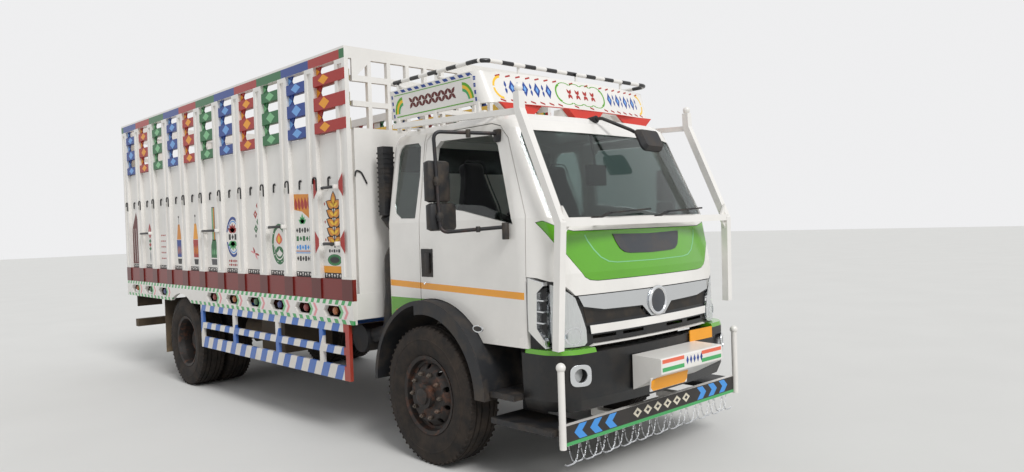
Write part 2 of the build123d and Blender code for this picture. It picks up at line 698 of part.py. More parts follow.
with BuildPart() as bumper:
    add(bumper_outer)
    add(bumper_inner, mode=Mode.SUBTRACT)
    block((-1100, 1100), (-3480, -3200), (500, 1000), mode=Mode.SUBTRACT)
    block((-900, 900), (-3780, -3200), (500, 1000), mode=Mode.SUBTRACT)
    add(front_cutter(both_halves(BUMPER_MOUTH)), mode=Mode.SUBTRACT)
    for name, side in SIDES:
        fog_x, fog_z, fog_radius = FOG_LAMP
        start = (side * fog_x, -3990, fog_z)
        end = (side * fog_x, -3700, fog_z)
        bar(start, end, 2 * fog_radius, mode=Mode.SUBTRACT)
    for x in (-120, 60, 240):
        block((x, x + 90), (-3880, -3845), (880, 960), mode=Mode.SUBTRACT)
save(bumper, "bumper")

with BuildPart() as bumper_corners:
    add(nose_form(BUMPER_CORNERS, 0, corner_radius=50))
    block((-700, 700), (-4000, -3400), (900, 1000), mode=Mode.SUBTRACT)
    add(cab_outer, mode=Mode.SUBTRACT)
save(bumper_corners, "bumper_corners")

# Bumper box with its plate, and the lower bar with its marker posts and chains
BOX_HALF = 376
BOX_FRONT_Y = -4160
BOX_REAR_Y = -3921

with BuildPart() as bumper_box:
    with BuildSketch(Plane.YZ.offset(-BOX_HALF)) as profile:
        Polygon(
            (BOX_REAR_Y, 624), (BOX_REAR_Y, 864), (BOX_FRONT_Y, 857), (BOX_FRONT_Y, 750), align=None,
        )
    extrude(profile.sketch, amount=2 * BOX_HALF)
    fillet(bumper_box.edges().filter_by(Axis.X).group_by(Axis.Y)[0], radius=12)
    plate(Plane.YZ.offset(-390), ((-4075, 630), (-4085, 722), (-4077, 724), (-4067, 632)), 430)
save(bumper_box, "bumper_box")

LOWER_BAR_Y = -3860
LOWER_BAR_HALF = 1028
MARKER_X = 1040
MARKER_Y = -3866

with BuildPart() as lower_bar:
    block((-LOWER_BAR_HALF, LOWER_BAR_HALF), (LOWER_BAR_Y, LOWER_BAR_Y + 40), (353, 486))
    for name, side in SIDES:
        arm = mirrored((357, 424), side)
        block(arm, (LOWER_BAR_Y + 40, -3570), (400, 450))
        block(arm, (-3630, -3570), (400, RAIL_BOTTOM_Z))
        x = side * MARKER_X
        bar((x, MARKER_Y, 345), (x, MARKER_Y, 850), 46)
        with Locations((x, MARKER_Y, 868)):
            Sphere(32)
save(lower_bar, "lower_bar")

CHAIN_SWAGS = 16
CHAIN_DROP = 80

with BuildPart() as chain_fringe:
    span = 2 * LOWER_BAR_HALF / CHAIN_SWAGS
    for swag in range(CHAIN_SWAGS):
        left = -LOWER_BAR_HALF + swag * span
        with BuildLine() as curve:
            ThreePointArc(
                (left, LOWER_BAR_Y + 20, 348),
                (left + span / 2, LOWER_BAR_Y + 20, 353 - CHAIN_DROP),
                (left + span, LOWER_BAR_Y + 20, 348),
            )
        with BuildSketch(Plane(origin=curve.line @ 0, z_dir=curve.line % 0)) as link:
            Rectangle(9, 9)
        sweep(sections=link.sketch, path=curve.line)
    block((-LOWER_BAR_HALF, LOWER_BAR_HALF), (LOWER_BAR_Y + 15, LOWER_BAR_Y + 25), (345, 353))
save(chain_fringe, "chain_fringe")

# Front wheel arches: a curved guard over each tyre, with a broad lip ahead of the rear corner
ARCH_GUARD = 34
ARCH_LIP_RADIUS = 572
ARCH_LIP_WIDTH = 60
ARCH_LIP_REAR_Y = -2425
ARCH_FOOT_Z = 570

with BuildPart() as wheel_arches:
    for name, side in SIDES:
        edge = 620 if side > 0 else -1130
        with BuildSketch(Plane.YZ.offset(edge)) as guard:
            with Locations((ARCH_Y, ARCH_Z)):
                Circle(ARCH_RADIUS - DOOR_GAP)
                Circle(ARCH_RADIUS - DOOR_GAP - ARCH_GUARD, mode=Mode.SUBTRACT)
            with Locations((ARCH_Y, ARCH_FOOT_Z)):
                Rectangle(1600, 800, align=(Align.CENTER, Align.MAX), mode=Mode.SUBTRACT)
        extrude(guard.sketch, amount=510)
        lip_x = -1130 if side < 0 else 1130 - ARCH_LIP_WIDTH
        with BuildSketch(Plane.YZ.offset(lip_x)) as lip:
            with Locations((ARCH_Y, ARCH_Z)):
                Circle(ARCH_RADIUS - DOOR_GAP)
                Circle(ARCH_LIP_RADIUS, mode=Mode.SUBTRACT)
            with Locations((ARCH_Y, ARCH_FOOT_Z)):
                Rectangle(1600, 800, align=(Align.CENTER, Align.MAX), mode=Mode.SUBTRACT)
            with Locations((ARCH_LIP_REAR_Y, ARCH_Z)):
                Rectangle(800, 1600, align=(Align.MIN, Align.CENTER), mode=Mode.SUBTRACT)
        extrude(lip.sketch, amount=ARCH_LIP_WIDTH)
        stay = mirrored((RAIL_OUTER_X, 640), side)
        for y in (-3100, -1975):
            block(stay, (y - 20, y + 20), (860, 900))
save(wheel_arches, "wheel_arches")

# Entry steps ahead of the front wheels, hung from the cab and the bumper
with BuildPart() as entry_steps:
    for name, side in SIDES:
        tread = mirrored((760, 1085), side)
        block(tread, (-3470, -3230), (600, 640))
        block(tread, (-3815, -3230), (420, 460))
        back = mirrored((760, 775), side)
        block(back, (-3470, -3230), (420, 955))
        stay = mirrored((RAIL_OUTER_X, 760), side)
        block(stay, (-3450, -3390), (740, 800))
save(entry_steps, "entry_steps")

# Cab interior: dashboard, two seats and a bunk base
SEAT_X = 500
SEAT_Y = -2760
# Half of a seat's back with its head rest, as (across, up along the back)
SEAT_BACK = ((-225, 0), (-225, 60), (-212, 380), (-140, 640), (-118, 800))
SEAT_BACK_THICKNESS = 110

with BuildPart() as seats:
    for name, side in SIDES:
        x = (side * SEAT_X - 250, side * SEAT_X + 250)
        block((x[0] + 90, x[1] - 90), (SEAT_Y - 200, SEAT_Y + 200), (CAB_FLOOR_Z + 30, 1450))
        cushion = ((SEAT_Y - 260, 1450), (SEAT_Y - 270, 1560), (SEAT_Y + 170, 1545), (SEAT_Y + 200, 1450))
        plate(Plane.YZ.offset(x[0]), cushion, 500)
        back = Plane(origin=(side * SEAT_X, SEAT_Y + 190, 1530), x_dir=(1, 0, 0), z_dir=(0, -0.98, 0.2))
        with BuildSketch(back) as back_outline:
            Polygon(*both_halves(SEAT_BACK), align=None)
        extrude(back_outline.sketch, amount=SEAT_BACK_THICKNESS / 2, both=True)
save(seats, "seats")

WHEEL_HUB = Vector(-SEAT_X, -3130, 1860)
COLUMN_DIRECTION = Vector(0, 0.5, 0.866)
COLUMN_FOOT = WHEEL_HUB - COLUMN_DIRECTION * 330

DASH_OUTLINE = (
    (-3690, 1420), (-3600, 1790), (-3420, 1830), (-3290, 1760), (-3270, 1560), (-3420, 1420),
)

with BuildPart() as dashboard:
    plate(Plane.YZ.offset(-870), DASH_OUTLINE, 1740)
    bar(tuple(COLUMN_FOOT), tuple(WHEEL_HUB - COLUMN_DIRECTION * 30), 70)
save(dashboard, "dashboard")

hub_plane = Plane(origin=tuple(WHEEL_HUB), x_dir=(1, 0, 0), z_dir=tuple(COLUMN_DIRECTION))

with BuildPart() as steering_wheel:
    with BuildSketch(Plane(origin=tuple(WHEEL_HUB), x_dir=(1, 0, 0), z_dir=(0, -0.866, 0.5))) as grip:
        with Locations((210, 30)):
            Circle(15)
    revolve(grip.sketch, axis=Axis(tuple(WHEEL_HUB), tuple(COLUMN_DIRECTION)))
    with BuildSketch(hub_plane.offset(-25)) as hub:
        Circle(45)
    extrude(hub.sketch, amount=50)
    with BuildSketch(hub_plane.offset(14)) as spokes:
        with PolarLocations(115, 4, start_angle=45):
            Rectangle(190, 34)
    extrude(spokes.sketch, amount=14)
save(steering_wheel, "steering_wheel")

# Mirrors: each door carries two heads on one bent arm
# low z, high z, width, and how far the head sits towards the cab from its arm
MIRROR_HEADS = ((1908, 2318, 165, 14), (1768, 1946, 205, -22))
MIRROR_X = 1368
MIRROR_ARM_Y = (-3055, -3100)
MIRROR_ARM_Z = (2440, 1751)
MIRROR_ARM = 26
MIRROR_TOP = (950, -3240, 2430)
MIRROR_FOOT = (1045, -3400, 1775)

for name, side in SIDES:
    with BuildPart() as mirror:
        top_x, top_y, top_z = MIRROR_TOP
        foot_x, foot_y, foot_z = MIRROR_FOOT
        bar((side * (top_x - 20), top_y, top_z - 45), (side * (top_x + 6), top_y, top_z + 25), 50)
        bar((side * (foot_x - 25), foot_y, foot_z - 35), (side * (foot_x + 5), foot_y, foot_z - 35), 70, 90)
        add(cab_outer, mode=Mode.SUBTRACT)
        arm = [
            (side * top_x, top_y, top_z),
            (side * MIRROR_X, MIRROR_ARM_Y[0], MIRROR_ARM_Z[0]),
            (side * MIRROR_X, MIRROR_ARM_Y[1], MIRROR_ARM_Z[1]),
            (side * foot_x, foot_y, foot_z),
        ]
        pipe(arm, MIRROR_ARM, 60)
        for low, high, width, inward in MIRROR_HEADS:
            middle = (low + high) / 2
            share = (MIRROR_ARM_Z[0] - middle) / (MIRROR_ARM_Z[0] - MIRROR_ARM_Z[1])
            arm_y = MIRROR_ARM_Y[0] + share * (MIRROR_ARM_Y[1] - MIRROR_ARM_Y[0])
            head = Plane(origin=(side * (MIRROR_X - inward), arm_y + 62, middle), z_dir=(0, 1, 0))
            with BuildSketch(head) as shell:
                RectangleRounded(width, high - low, 35)
            extrude(shell.sketch, amount=20)
            extrude(shell.sketch, amount=-36, taper=30)
            clamp = (side * MIRROR_X, arm_y, middle)
            bar(clamp, (side * MIRROR_X, arm_y + 40, middle), 30)
    save(mirror, f"mirror_{name}")

# Kerb mirror: one head on an arm from the roof's front edge
KERB_ARM = ((-55, -3396, 2574), (-55, -3445, 2575), (90, -3600, 2480), (205, -3655, 2420))
KERB_HEAD = Plane(origin=(235, -3665, 2398), x_dir=(1, 0.11, 0), z_dir=(0.1, -0.9, 0.42))

with BuildPart() as kerb_mirror:
    bar((-55, -3320, 2565), KERB_ARM[0], 56)
    add(cab_outer, mode=Mode.SUBTRACT)
    pipe(list(KERB_ARM), MIRROR_ARM, 35)
    with BuildSketch(KERB_HEAD) as shell:
        RectangleRounded(290, 180, 45)
    extrude(shell.sketch, amount=-15)
    extrude(shell.sketch, amount=35, taper=30)
save(kerb_mirror, "kerb_mirror")

# Wipers: two blades parked along the base of the windscreen
with BuildPart() as wipers:
    for pivot_x, tip_x in ((-560, 60), (120, 740)):
        face_y = -3789 + 75 * (pivot_x / 850) ** 2
        start = (pivot_x, -3812, 1815)
        middle = (pivot_x + 150, -3800, 1850)
        end = (tip_x, -3785, 1872)
        bar(start, middle, 18, 10)
        bar(middle, end, 12, 22)
        bar((pivot_x, face_y, 1812), (pivot_x, -3820, 1812), 30)
save(wipers, "wipers")

# Air intake: a ribbed snorkel behind the cab with its hose down to the filter
SNORKEL_X = (-1000, -900)
SNORKEL_Y = (-1897, -1812)
SNORKEL_Z = (1900, 2470)
SNORKEL_RIB = 6
HOSE = 120
HOSE_BEND = 100
FILTER_Y = -1480
FILTER_Z = 850
HOSE_ROUTE = (
    (-950, -1852, 1905), (-860, -1850, 1790), (-830, -1850, 1680), (-915, -1840, 1540),
    (-915, -1840, 1300), (-930, -1812, 935), (-940, FILTER_Y, FILTER_Z),
)

with BuildPart() as air_intake:
    block(SNORKEL_X, SNORKEL_Y, SNORKEL_Z)
    for z in range(1930, 2450, 40):
        rib_x = (SNORKEL_X[0] - SNORKEL_RIB, SNORKEL_X[1] + SNORKEL_RIB)
        rib_y = (SNORKEL_Y[0] - SNORKEL_RIB, SNORKEL_Y[1] + SNORKEL_RIB)
        block(rib_x, rib_y, (z, z + 14))
    pipe(list(HOSE_ROUTE), HOSE, HOSE_BEND)
    bar((-1020, FILTER_Y, FILTER_Z), (-600, FILTER_Y, FILTER_Z), 240)
    block((-600, -RAIL_OUTER_X), (FILTER_Y - 30, FILTER_Y + 30), (820, 880))
save(air_intake, "air_intake")

# Crash guard: square tube posts in front of the cab, tied back along the roof
GUARD_X = 987
GUARD_TUBE = 55
# y and z of each post's foot: the left one is the shorter
GUARD_FEET = {"right": (-3800, 962), "left": (-3846, 1112)}

with BuildPart() as crash_guard:
    for name, side in SIDES:
        x = side * GUARD_X
        foot_y, foot_z = GUARD_FEET[name]
        post = [(x, foot_y, foot_z), (x, -3855, 1787), (x, -3513, 2562), (x, -3509, 2680)]
        square_tube(post, GUARD_TUBE)
        with Locations((x, -3509, 2706)):
            Sphere(30)
        square_tube([(x, -3520, 2552), (x, -2060, 2613)], 40)
        gusset = [(side * (GUARD_X - 20), 1700), (side * (GUARD_X - 20), 1900), (side * 890, 1790)]
        plate(Plane.XZ.offset(3846), gusset, 16)
        roof_foot = mirrored((820, GUARD_X + 12), side)
        riser = mirrored((GUARD_X - 12, GUARD_X + 12), side)
        for y in (-3150, -2200):
            block(roof_foot, (y - 20, y + 20), (CAB_ROOF_Z, CAB_ROOF_Z + 8))
            block(riser, (y - 20, y + 20), (CAB_ROOF_Z, 2600))
    bar((-GUARD_X, -3854, 1790), (GUARD_X, -3854, 1790), 50, 50)
save(crash_guard, "crash_guard")

# Crown: the curved name board above the cab, open at the back, with its three lamps
CROWN_BASE_Z = 2665
CROWN_TOP_Z = 2900
CROWN_WALL = 30
CROWN_REAR_Y = -2000
# low x, high x at the top and at the bottom of each lamp
CROWN_LAMPS = ((-866, -438, -756, -536), (-199, 226, -99, 144), (462, 929, 570, 834))


def crown_outline(level, half, front, bulge, inset):
    """The crown seen from above: two sides and a bowed front."""
    with BuildSketch(Plane.XY.offset(level)) as outline:
        with BuildLine():
            x = half - inset
            Line((-x, CROWN_REAR_Y + inset), (-x, front + 90 + inset))
            TangentArc((-x, front + 90 + inset), (70 - x, front + inset), tangent=(0, -1))
            ThreePointArc((70 - x, front + inset), (0, bulge + inset), (x - 70, front + inset))
            TangentArc((x, front + 90 + inset), (x - 70, front + inset), tangent=(0, -1))
            Line((x, front + 90 + inset), (x, CROWN_REAR_Y + inset))
            Line((x, CROWN_REAR_Y + inset), (-x, CROWN_REAR_Y + inset))
        make_face()
    return outline.sketch


with BuildPart() as crown:
    for inset, mode in ((0, Mode.ADD), (CROWN_WALL, Mode.SUBTRACT)):
        base = crown_outline(CROWN_BASE_Z, 956, -3163, -3240, inset)
        top = crown_outline(CROWN_TOP_Z, 986, -3084, -3165, inset)
        loft([base, top], ruled=True, mode=mode)
    block((-900, 900), (-2100, -1900), (2600, 3000), mode=Mode.SUBTRACT)
    for name, side in SIDES:
        for y in (-3060, -2560, -2080):
            strut = mirrored((940, GUARD_X - 20), side)
            block(strut, (y - 15, y + 15), (2560, CROWN_BASE_Z + 10))
    for left, right, low_left, low_right in CROWN_LAMPS:
        lamp = ((left, 2670), (low_left, 2590), (low_right, 2590), (right, 2670))
        wall_y = -3240 + 77 * ((left + right) / 2 / 886) ** 2
        plate(Plane.XZ.offset(-wall_y - 85), lamp, 80)
save(crown, "crown")

# Roof rack: a bent rail on short posts above the crown
RACK_X = 970
RACK_Z = 2965
RACK_FRONT_Y = -3130

with BuildPart() as roof_rack:
    pipe(
        [
            (-RACK_X, -2020, RACK_Z), (-RACK_X, RACK_FRONT_Y, RACK_Z),
            (RACK_X, RACK_FRONT_Y, RACK_Z), (RACK_X, -2020, RACK_Z),
        ],
        32, 90,
    )
    for name, side in SIDES:
        for y in (-2100, -2600):
            bar((side * RACK_X, y, CROWN_TOP_Z), (side * RACK_X, y, RACK_Z), 24)
    for x in (-600, 0, 600):
        wall_y = -3150 + 81 * (x / 916) ** 2
        bar((x, wall_y, CROWN_TOP_Z), (x, wall_y, RACK_Z), 22)
    for y in (-2100, -2600):
        bar((-RACK_X, y, RACK_Z - 40), (RACK_X, y, RACK_Z - 40), 24)
save(roof_rack, "roof_rack")

# Load deck: bearers along the frame, cross bearers and the floor
CROSS_BEARERS = 12
PORTAL_Y = (4040, 4119)

with BuildPart() as load_deck:
    block((-WALL_INNER_X, WALL_INNER_X), (BODY_FRONT_Y + 40, PORTAL_Y[0]), (DECK_BOTTOM_Z, DECK_TOP_Z))
    for name, side in SIDES:
        bearer = mirrored((RAIL_OUTER_X - RAIL_FLANGE, RAIL_OUTER_X), side)
        block(bearer, (BODY_FRONT_Y, FRAME_REAR_Y), (RAIL_TOP_Z, 1070))
    for index in range(CROSS_BEARERS):
        y = BODY_FRONT_Y + 60 + index * (BODY_LENGTH - 160) / (CROSS_BEARERS - 1)
        block((-POST_INNER_X, POST_INNER_X), (y - 4, y + 4), (1070, DECK_BOTTOM_Z))
        block((-POST_INNER_X, POST_INNER_X), (y, y + 45), (1070, 1078))
save(load_deck, "load_deck")

# Under rails: the painted edge beams with six-sided openings and a rear wheel arch
HEX_OPENING = ((-150, 0), (-110, 48), (110, 48), (150, 0), (110, -48), (-110, -48))
REAR_ARCH_RADIUS = 575

with BuildPart() as under_rails:
    for name, side in SIDES:
        edge = mirrored((POST_INNER_X, BODY_HALF), side)
        block(edge, (BODY_FRONT_Y, BODY_REAR_Y), (UNDER_RAIL_Z, DECK_TOP_Z))
        for bay in range(POST_COUNT - 1):
            centre_y = BODY_FRONT_Y + POST_WIDTH / 2 + (bay + 0.5) * POST_PITCH
            hexagon = [(centre_y + y, 1098 + z) for y, z in HEX_OPENING]
            if abs(centre_y - REAR_AXLE_Y) > 560:
                plate(Plane.YZ.offset(edge[0]), hexagon, 40, mode=Mode.SUBTRACT)
        with Locations((side * BODY_HALF, REAR_AXLE_Y, TYRE_RADIUS)):
            Cylinder(REAR_ARCH_RADIUS, 120, rotation=(0, 90, 0), mode=Mode.SUBTRACT)
save(under_rails, "under_rails")

# Side walls: planked up to the sill, then open between posts up to the top rail
for name, side in SIDES:
    with BuildPart() as side_wall:
        planks = mirrored((WALL_INNER_X, POST_INNER_X), side)
        block(planks, (BODY_FRONT_Y + 40, BODY_REAR_Y), (DECK_BOTTOM_Z, SILL_Z))
        rail = mirrored((WALL_INNER_X, BODY_HALF), side)
        block(rail, (BODY_FRONT_Y, BODY_REAR_Y), (TOP_RAIL_Z, BODY_TOP_Z))
        skirt = mirrored((POST_INNER_X, BODY_HALF - 12), side)
        block(skirt, (BODY_FRONT_Y, BODY_REAR_Y), (DECK_TOP_Z, 1376))
        for post in range(POST_COUNT):
            y = BODY_FRONT_Y + post * POST_PITCH
            outer = mirrored((POST_INNER_X, BODY_HALF), side)
            block(outer, (y, y + POST_WIDTH), (DECK_TOP_Z, TOP_RAIL_Z))
            groove = mirrored((BODY_HALF - 14, BODY_HALF), side)
            inner_y = (y + 45, y + POST_WIDTH - 45)
            block(groove, inner_y, (1400, TOP_RAIL_Z - 40), mode=Mode.SUBTRACT)
    save(side_wall, f"side_wall_{name}")

# Side slats: three painted boards in the open band of each wall
SLATS_Z = ((2630, 2722), (2826, 2938), (3036, 3128))

with BuildPart() as side_slats:
    for name, side in SIDES:
        boards = mirrored((WALL_INNER_X, POST_INNER_X), side)
        for low, high in SLATS_Z:
            block(boards, (BODY_FRONT_Y + 40, BODY_REAR_Y), (low, high))
save(side_slats, "side_slats")

# Front wall: a sheet to the sill and an open grid above it
FRONT_BARS_X = (-980, -784, -588, -392, -196, 0, 196, 392, 588, 784, 980)
FRONT_WALL_Y = (BODY_FRONT_Y, BODY_FRONT_Y + 40)

with BuildPart() as front_wall:
    block((-WALL_INNER_X, WALL_INNER_X), FRONT_WALL_Y, (DECK_BOTTOM_Z, 2636))
    block((-WALL_INNER_X, WALL_INNER_X), FRONT_WALL_Y, (TOP_RAIL_Z, BODY_TOP_Z))
    block((-POST_INNER_X, POST_INNER_X), (BODY_FRONT_Y - 4, BODY_FRONT_Y), (1040, DECK_TOP_Z + 60))
    for low, high in ((2817, 2862), (3024, 3074)):
        block((-WALL_INNER_X, WALL_INNER_X), FRONT_WALL_Y, (low, high))
    for x in FRONT_BARS_X:
        block((x - 18, x + 18), FRONT_WALL_Y, (2636, TOP_RAIL_Z))
    for name, side in SIDES:
        corner = ((side * WALL_INNER_X, 3209), (side * 960, 3209), (side * WALL_INNER_X, 3024))
        plate(Plane.XZ.offset(-BODY_FRONT_Y - 20), corner, 20)
save(front_wall, "front_wall")

# Rear frame: the portal that the gates hang in, and the rear bumper below it
GATE_Y = (4056, 4106)
PORTAL_X = (1072, WALL_INNER_X)
GATE_HINGE_Y = 4128
TAILGATE_Z = (1216, 1950)
UPPER_GATE_Z = (1966, 3140)

with BuildPart() as rear_frame:
    for name, side in SIDES:
        block(mirrored(PORTAL_X, side), PORTAL_Y, (DECK_BOTTOM_Z, TOP_RAIL_Z))
    block((-WALL_INNER_X, WALL_INNER_X), PORTAL_Y, (3150, BODY_TOP_Z))
    block((-WALL_INNER_X, WALL_INNER_X), PORTAL_Y, (DECK_BOTTOM_Z, DECK_TOP_Z))
save(rear_frame, "rear_frame")

with BuildPart() as tailgate:
    half = PORTAL_X[0] - 8
    block((-half, half), (GATE_Y[0] + 20, GATE_Y[1] - 15), TAILGATE_Z)
    for low, high in ((1216, 1276), (1553, 1613), (1890, 1950)):
        block((-half, half), GATE_Y, (low, high))
    for x in (-half, -545, -30, 485, half - 60):
        block((x, x + 60), GATE_Y, TAILGATE_Z)
save(tailgate, "tailgate")

for name, side in SIDES:
    with BuildPart() as gate:
        leaf = mirrored((6, PORTAL_X[0] - 8), side)
        block(leaf, (GATE_Y[0] + 20, GATE_Y[1] - 15), (UPPER_GATE_Z[0], SILL_Z))
        for low, high in ((1966, 2026), (2560, 2620), (2826, 2880), (3080, 3140)):
            block(leaf, GATE_Y, (low, high))
        for x in (6, 350, 700, PORTAL_X[0] - 68):
            block(mirrored((x, x + 60), side), GATE_Y, UPPER_GATE_Z)
    save(gate, f"gate_{name}")

# Rear underrun guard, lamp boards and mudguards
with BuildPart() as rear_underrun:
    block((-1150, 1150), (3960, 4060), (560, 660))
    for name, side in SIDES:
        block(mirrored((RAIL_OUTER_X, 480), side), (3960, 4030), (660, RAIL_TOP_Z))
        block(mirrored((800, 1120), side), (4040, 4070), (830, 1000))
        block(mirrored((480, 1120), side), (3990, 4040), (960, 1000))
        block(mirrored((560, 1190), side), (2780, 2788), (330, 1000))
        block(mirrored((RAIL_OUTER_X, 560), side), (2780, 2788), (900, 1000))
save(rear_underrun, "rear_underrun")

# Side guards: painted rails between the axles
GUARD_Y = (-1620, 1560)
GUARD_RAILS_Z = ((930, 1000), (736, 800), (520, 640))
GUARD_POSTS_Y = (-1620, -1180, -340, 640, 1500)

with BuildPart() as side_guards:
    for name, side in SIDES:
        face = mirrored((1186, 1216), side)
        for low, high in GUARD_RAILS_Z:
            block(face, GUARD_Y, (low, high))
        for y in GUARD_POSTS_Y:
            block(face, (y, y + 60), (520, 1000))
        for y in (-1150, 1520):
            block(mirrored((RAIL_OUTER_X, 1186), side), (y, y + 30), (930, 980))
save(side_guards, "side_guards")

# Fuel tank on the left; battery box and air tank on the right
TANK_Y = (-600, 650)
TANK_STRAPS_Y = (-450, 400)

with BuildPart() as tanks_and_boxes:
    with BuildSketch(Plane.XZ.offset(-TANK_Y[0])) as section:
        with Locations((800, 700)):
            RectangleRounded(600, 480, 90)
    extrude(section.sketch, amount=TANK_Y[0] - TANK_Y[1])
    for y in TANK_STRAPS_Y:
        block((RAIL_OUTER_X, 520), (y, y + 60), (740, 960))
    block((-1080, -560), (-200, 300), (600, 960))
    block((-560, -RAIL_OUTER_X), (0, 60), (760, 900))
    bar((-640, 420, 700), (-640, 1350, 700), 300)
    for y in (700, 1200):
        block((-560, -RAIL_OUTER_X), (y, y + 60), (760, 830))
save(tanks_and_boxes, "tanks_and_boxes")
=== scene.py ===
"""Looks of a high-sided decorated cargo truck: its finishes, painted ornament and fine fittings."""
import logging
from dataclasses import dataclass, field
from enum import Enum
from math import atan2, cos, pi, radians, sin
from typing import Iterable, Optional

import bpy
from bpy.types import Material, Node, NodeSocket, NodeTree, Object
from mathutils import Matrix, Vector


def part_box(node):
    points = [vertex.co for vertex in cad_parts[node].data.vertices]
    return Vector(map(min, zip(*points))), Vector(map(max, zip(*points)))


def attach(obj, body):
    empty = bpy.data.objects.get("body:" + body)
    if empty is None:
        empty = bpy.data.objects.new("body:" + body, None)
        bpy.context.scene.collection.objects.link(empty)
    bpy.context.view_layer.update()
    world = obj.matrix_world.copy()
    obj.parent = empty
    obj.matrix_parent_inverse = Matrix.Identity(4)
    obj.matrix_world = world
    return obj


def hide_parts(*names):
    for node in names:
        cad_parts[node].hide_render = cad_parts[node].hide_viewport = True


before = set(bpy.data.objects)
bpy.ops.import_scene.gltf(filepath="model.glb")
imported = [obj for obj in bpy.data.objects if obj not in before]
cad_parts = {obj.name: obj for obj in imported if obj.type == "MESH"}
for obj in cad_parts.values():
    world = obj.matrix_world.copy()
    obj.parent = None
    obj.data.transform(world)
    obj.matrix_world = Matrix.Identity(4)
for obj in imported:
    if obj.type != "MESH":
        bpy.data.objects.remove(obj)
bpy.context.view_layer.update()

log = logging.getLogger("truck")

MM = 0.001
Point = tuple[float, float, float]
Span = tuple[float, float]

# Places shared with the solids, in metres
SIDES: dict[str, int] = {"right": -1, "left": 1}
AXLE_Z = 0.522
FRONT_AXLE_Y = -2.55
REAR_AXLE_Y = 2.15
FRONT_WHEEL_X = 0.99
REAR_OUTER_X = 1.042
TWIN_SPACING = 0.33
BODY_FRONT_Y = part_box("side_wall_right")[0].y
BODY_REAR_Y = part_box("side_wall_right")[1].y
BODY_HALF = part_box("side_wall_left")[1].x
POST_WIDTH = 0.16
BAYS = range(11)
POST_PITCH = (BODY_REAR_Y - BODY_FRONT_Y - POST_WIDTH) / len(BAYS)
BAY_WIDTH = POST_PITCH - POST_WIDTH
PANEL_X = 1.18
SKIRT_TOP_Z = 1.376
TOP_RAIL_Z = 3.209


class Hue(Enum):
    """The sign writer's colours, as sRGB hex values."""

    WHITE = "#E9E6E1"
    CREAM = "#E6DFCB"
    GREEN = "#59A312"
    DEEP_GREEN = "#1F6B3A"
    LEAF_GREEN = "#3FA860"
    PALE_GREEN = "#7FC08A"
    BLUE = "#173F8E"
    SKY_BLUE = "#3C93E0"
    GUARD_BLUE = "#2F70C6"
    PALE_BLUE = "#6FA6E4"
    SIGNAL_RED = "#D42F1C"
    RED = "#A8221B"
    DARK_RED = "#5C120F"
    BAND_RED = "#781712"
    ORANGE = "#F0A01C"
    OCHRE = "#D98A2B"
    YELLOW = "#F2C332"
    SAFFRON = "#E8694A"
    PINK = "#E79AA0"
    BLACK = "#15161A"
    # painted shade: near black for the inside faces of the cab
    LINING = "#1C1C1F"
    PALE_GREY = "#D6D5D0"
    GREY = "#8E8F92"
    DARK_GREY = "#4A4A4E"


BAY_HUES = (Hue.RED, Hue.BLUE, Hue.DEEP_GREEN)


def linear(hex_colour: str) -> tuple[float, float, float, float]:
    """Turns an sRGB hex value into the linear colour that shaders take.

    Args:
        hex_colour: a value such as "#E9E6E1".

    Returns:
        Linear red, green and blue, and an alpha of 1.
    """
    channels = [int(hex_colour[i:i + 2], 16) / 255 for i in (1, 3, 5)]
    return tuple(c / 12.92 if c <= 0.04045 else ((c + 0.055) / 1.055) ** 2.4 for c in channels) + (1.0,)


def plug(sockets: Iterable, name: object) -> NodeSocket:
    """Finds a socket by its index, or by its name among those in use.

    Args:
        sockets: a node's inputs or outputs.
        name: its name or index.

    Returns:
        The socket.
    """
    if isinstance(name, int):
        return sockets[name]
    return next(socket for socket in sockets if socket.name == name and socket.enabled)


def outlet(source: object) -> NodeSocket:
    """The first output in use of a node; an output itself is given back as it is.

    Args:
        source: a node or one of its outputs.

    Returns:
        The output.
    """
    if isinstance(source, Node):
        return next(socket for socket in source.outputs if socket.enabled)
    return source


def add_node(
    tree: NodeTree, kind: str, links: dict = None, values: dict = None,
    into: NodeSocket = None, **settings: object,
) -> Node:
    """Adds one shader node.

    Args:
        tree: the node tree to add to.
        kind: the node's type, without the word ShaderNode before it.
        links: input name or index, to the node or output that feeds it.
        values: input name or index, to its fixed value.
        into: the input of another node that this one feeds.
        settings: the node's own settings.

    Returns:
        The new node.
    """
    node = tree.nodes.new(f"ShaderNode{kind}")
    for key, value in settings.items():
        setattr(node, key, value)
    for name, value in (values or {}).items():
        plug(node.inputs, name).default_value = value
    for name, source in (links or {}).items():
        tree.links.new(outlet(source), plug(node.inputs, name))
    if into:
        tree.links.new(outlet(node), into)
    return node


@dataclass(frozen=True)
class Finish:
    """What a surface is made of and how it was made. Each kind shades its own material."""

    name: str

    def make(self) -> Material:
        """Builds the material, whose patterns lie in the truck's own coordinates.

        Returns:
            The material.
        """
        material = bpy.data.materials.new(self.name)
        material.use_nodes = True
        tree = material.node_tree
        place = add_node(tree, "TexCoord").outputs["Object"]
        self.shade(tree, tree.nodes["Principled BSDF"], place)
        return material

    def shade(self, tree: NodeTree, shader: Node, place: NodeSocket) -> None:
        """Sets up the surface.

        Args:
            tree: the material's node tree.
            shader: its principled shader.
            place: the output that gives the place on the truck.
        """
        raise NotImplementedError


@dataclass(frozen=True)
class Zone:
    """An area painted in its own colours, by its spans across, along and up the truck.

    Several colours are taken in turn from one bay of the body to the next.
    """

    colours: tuple[Hue, ...]
    across: Optional[Span] = None
    along: Optional[Span] = None
    up: Optional[Span] = None
    climb: float = 0.0
    pitch: float = POST_PITCH
    start: float = BODY_FRONT_Y
    stripes_along: bool = True
    lean: float = 0.0


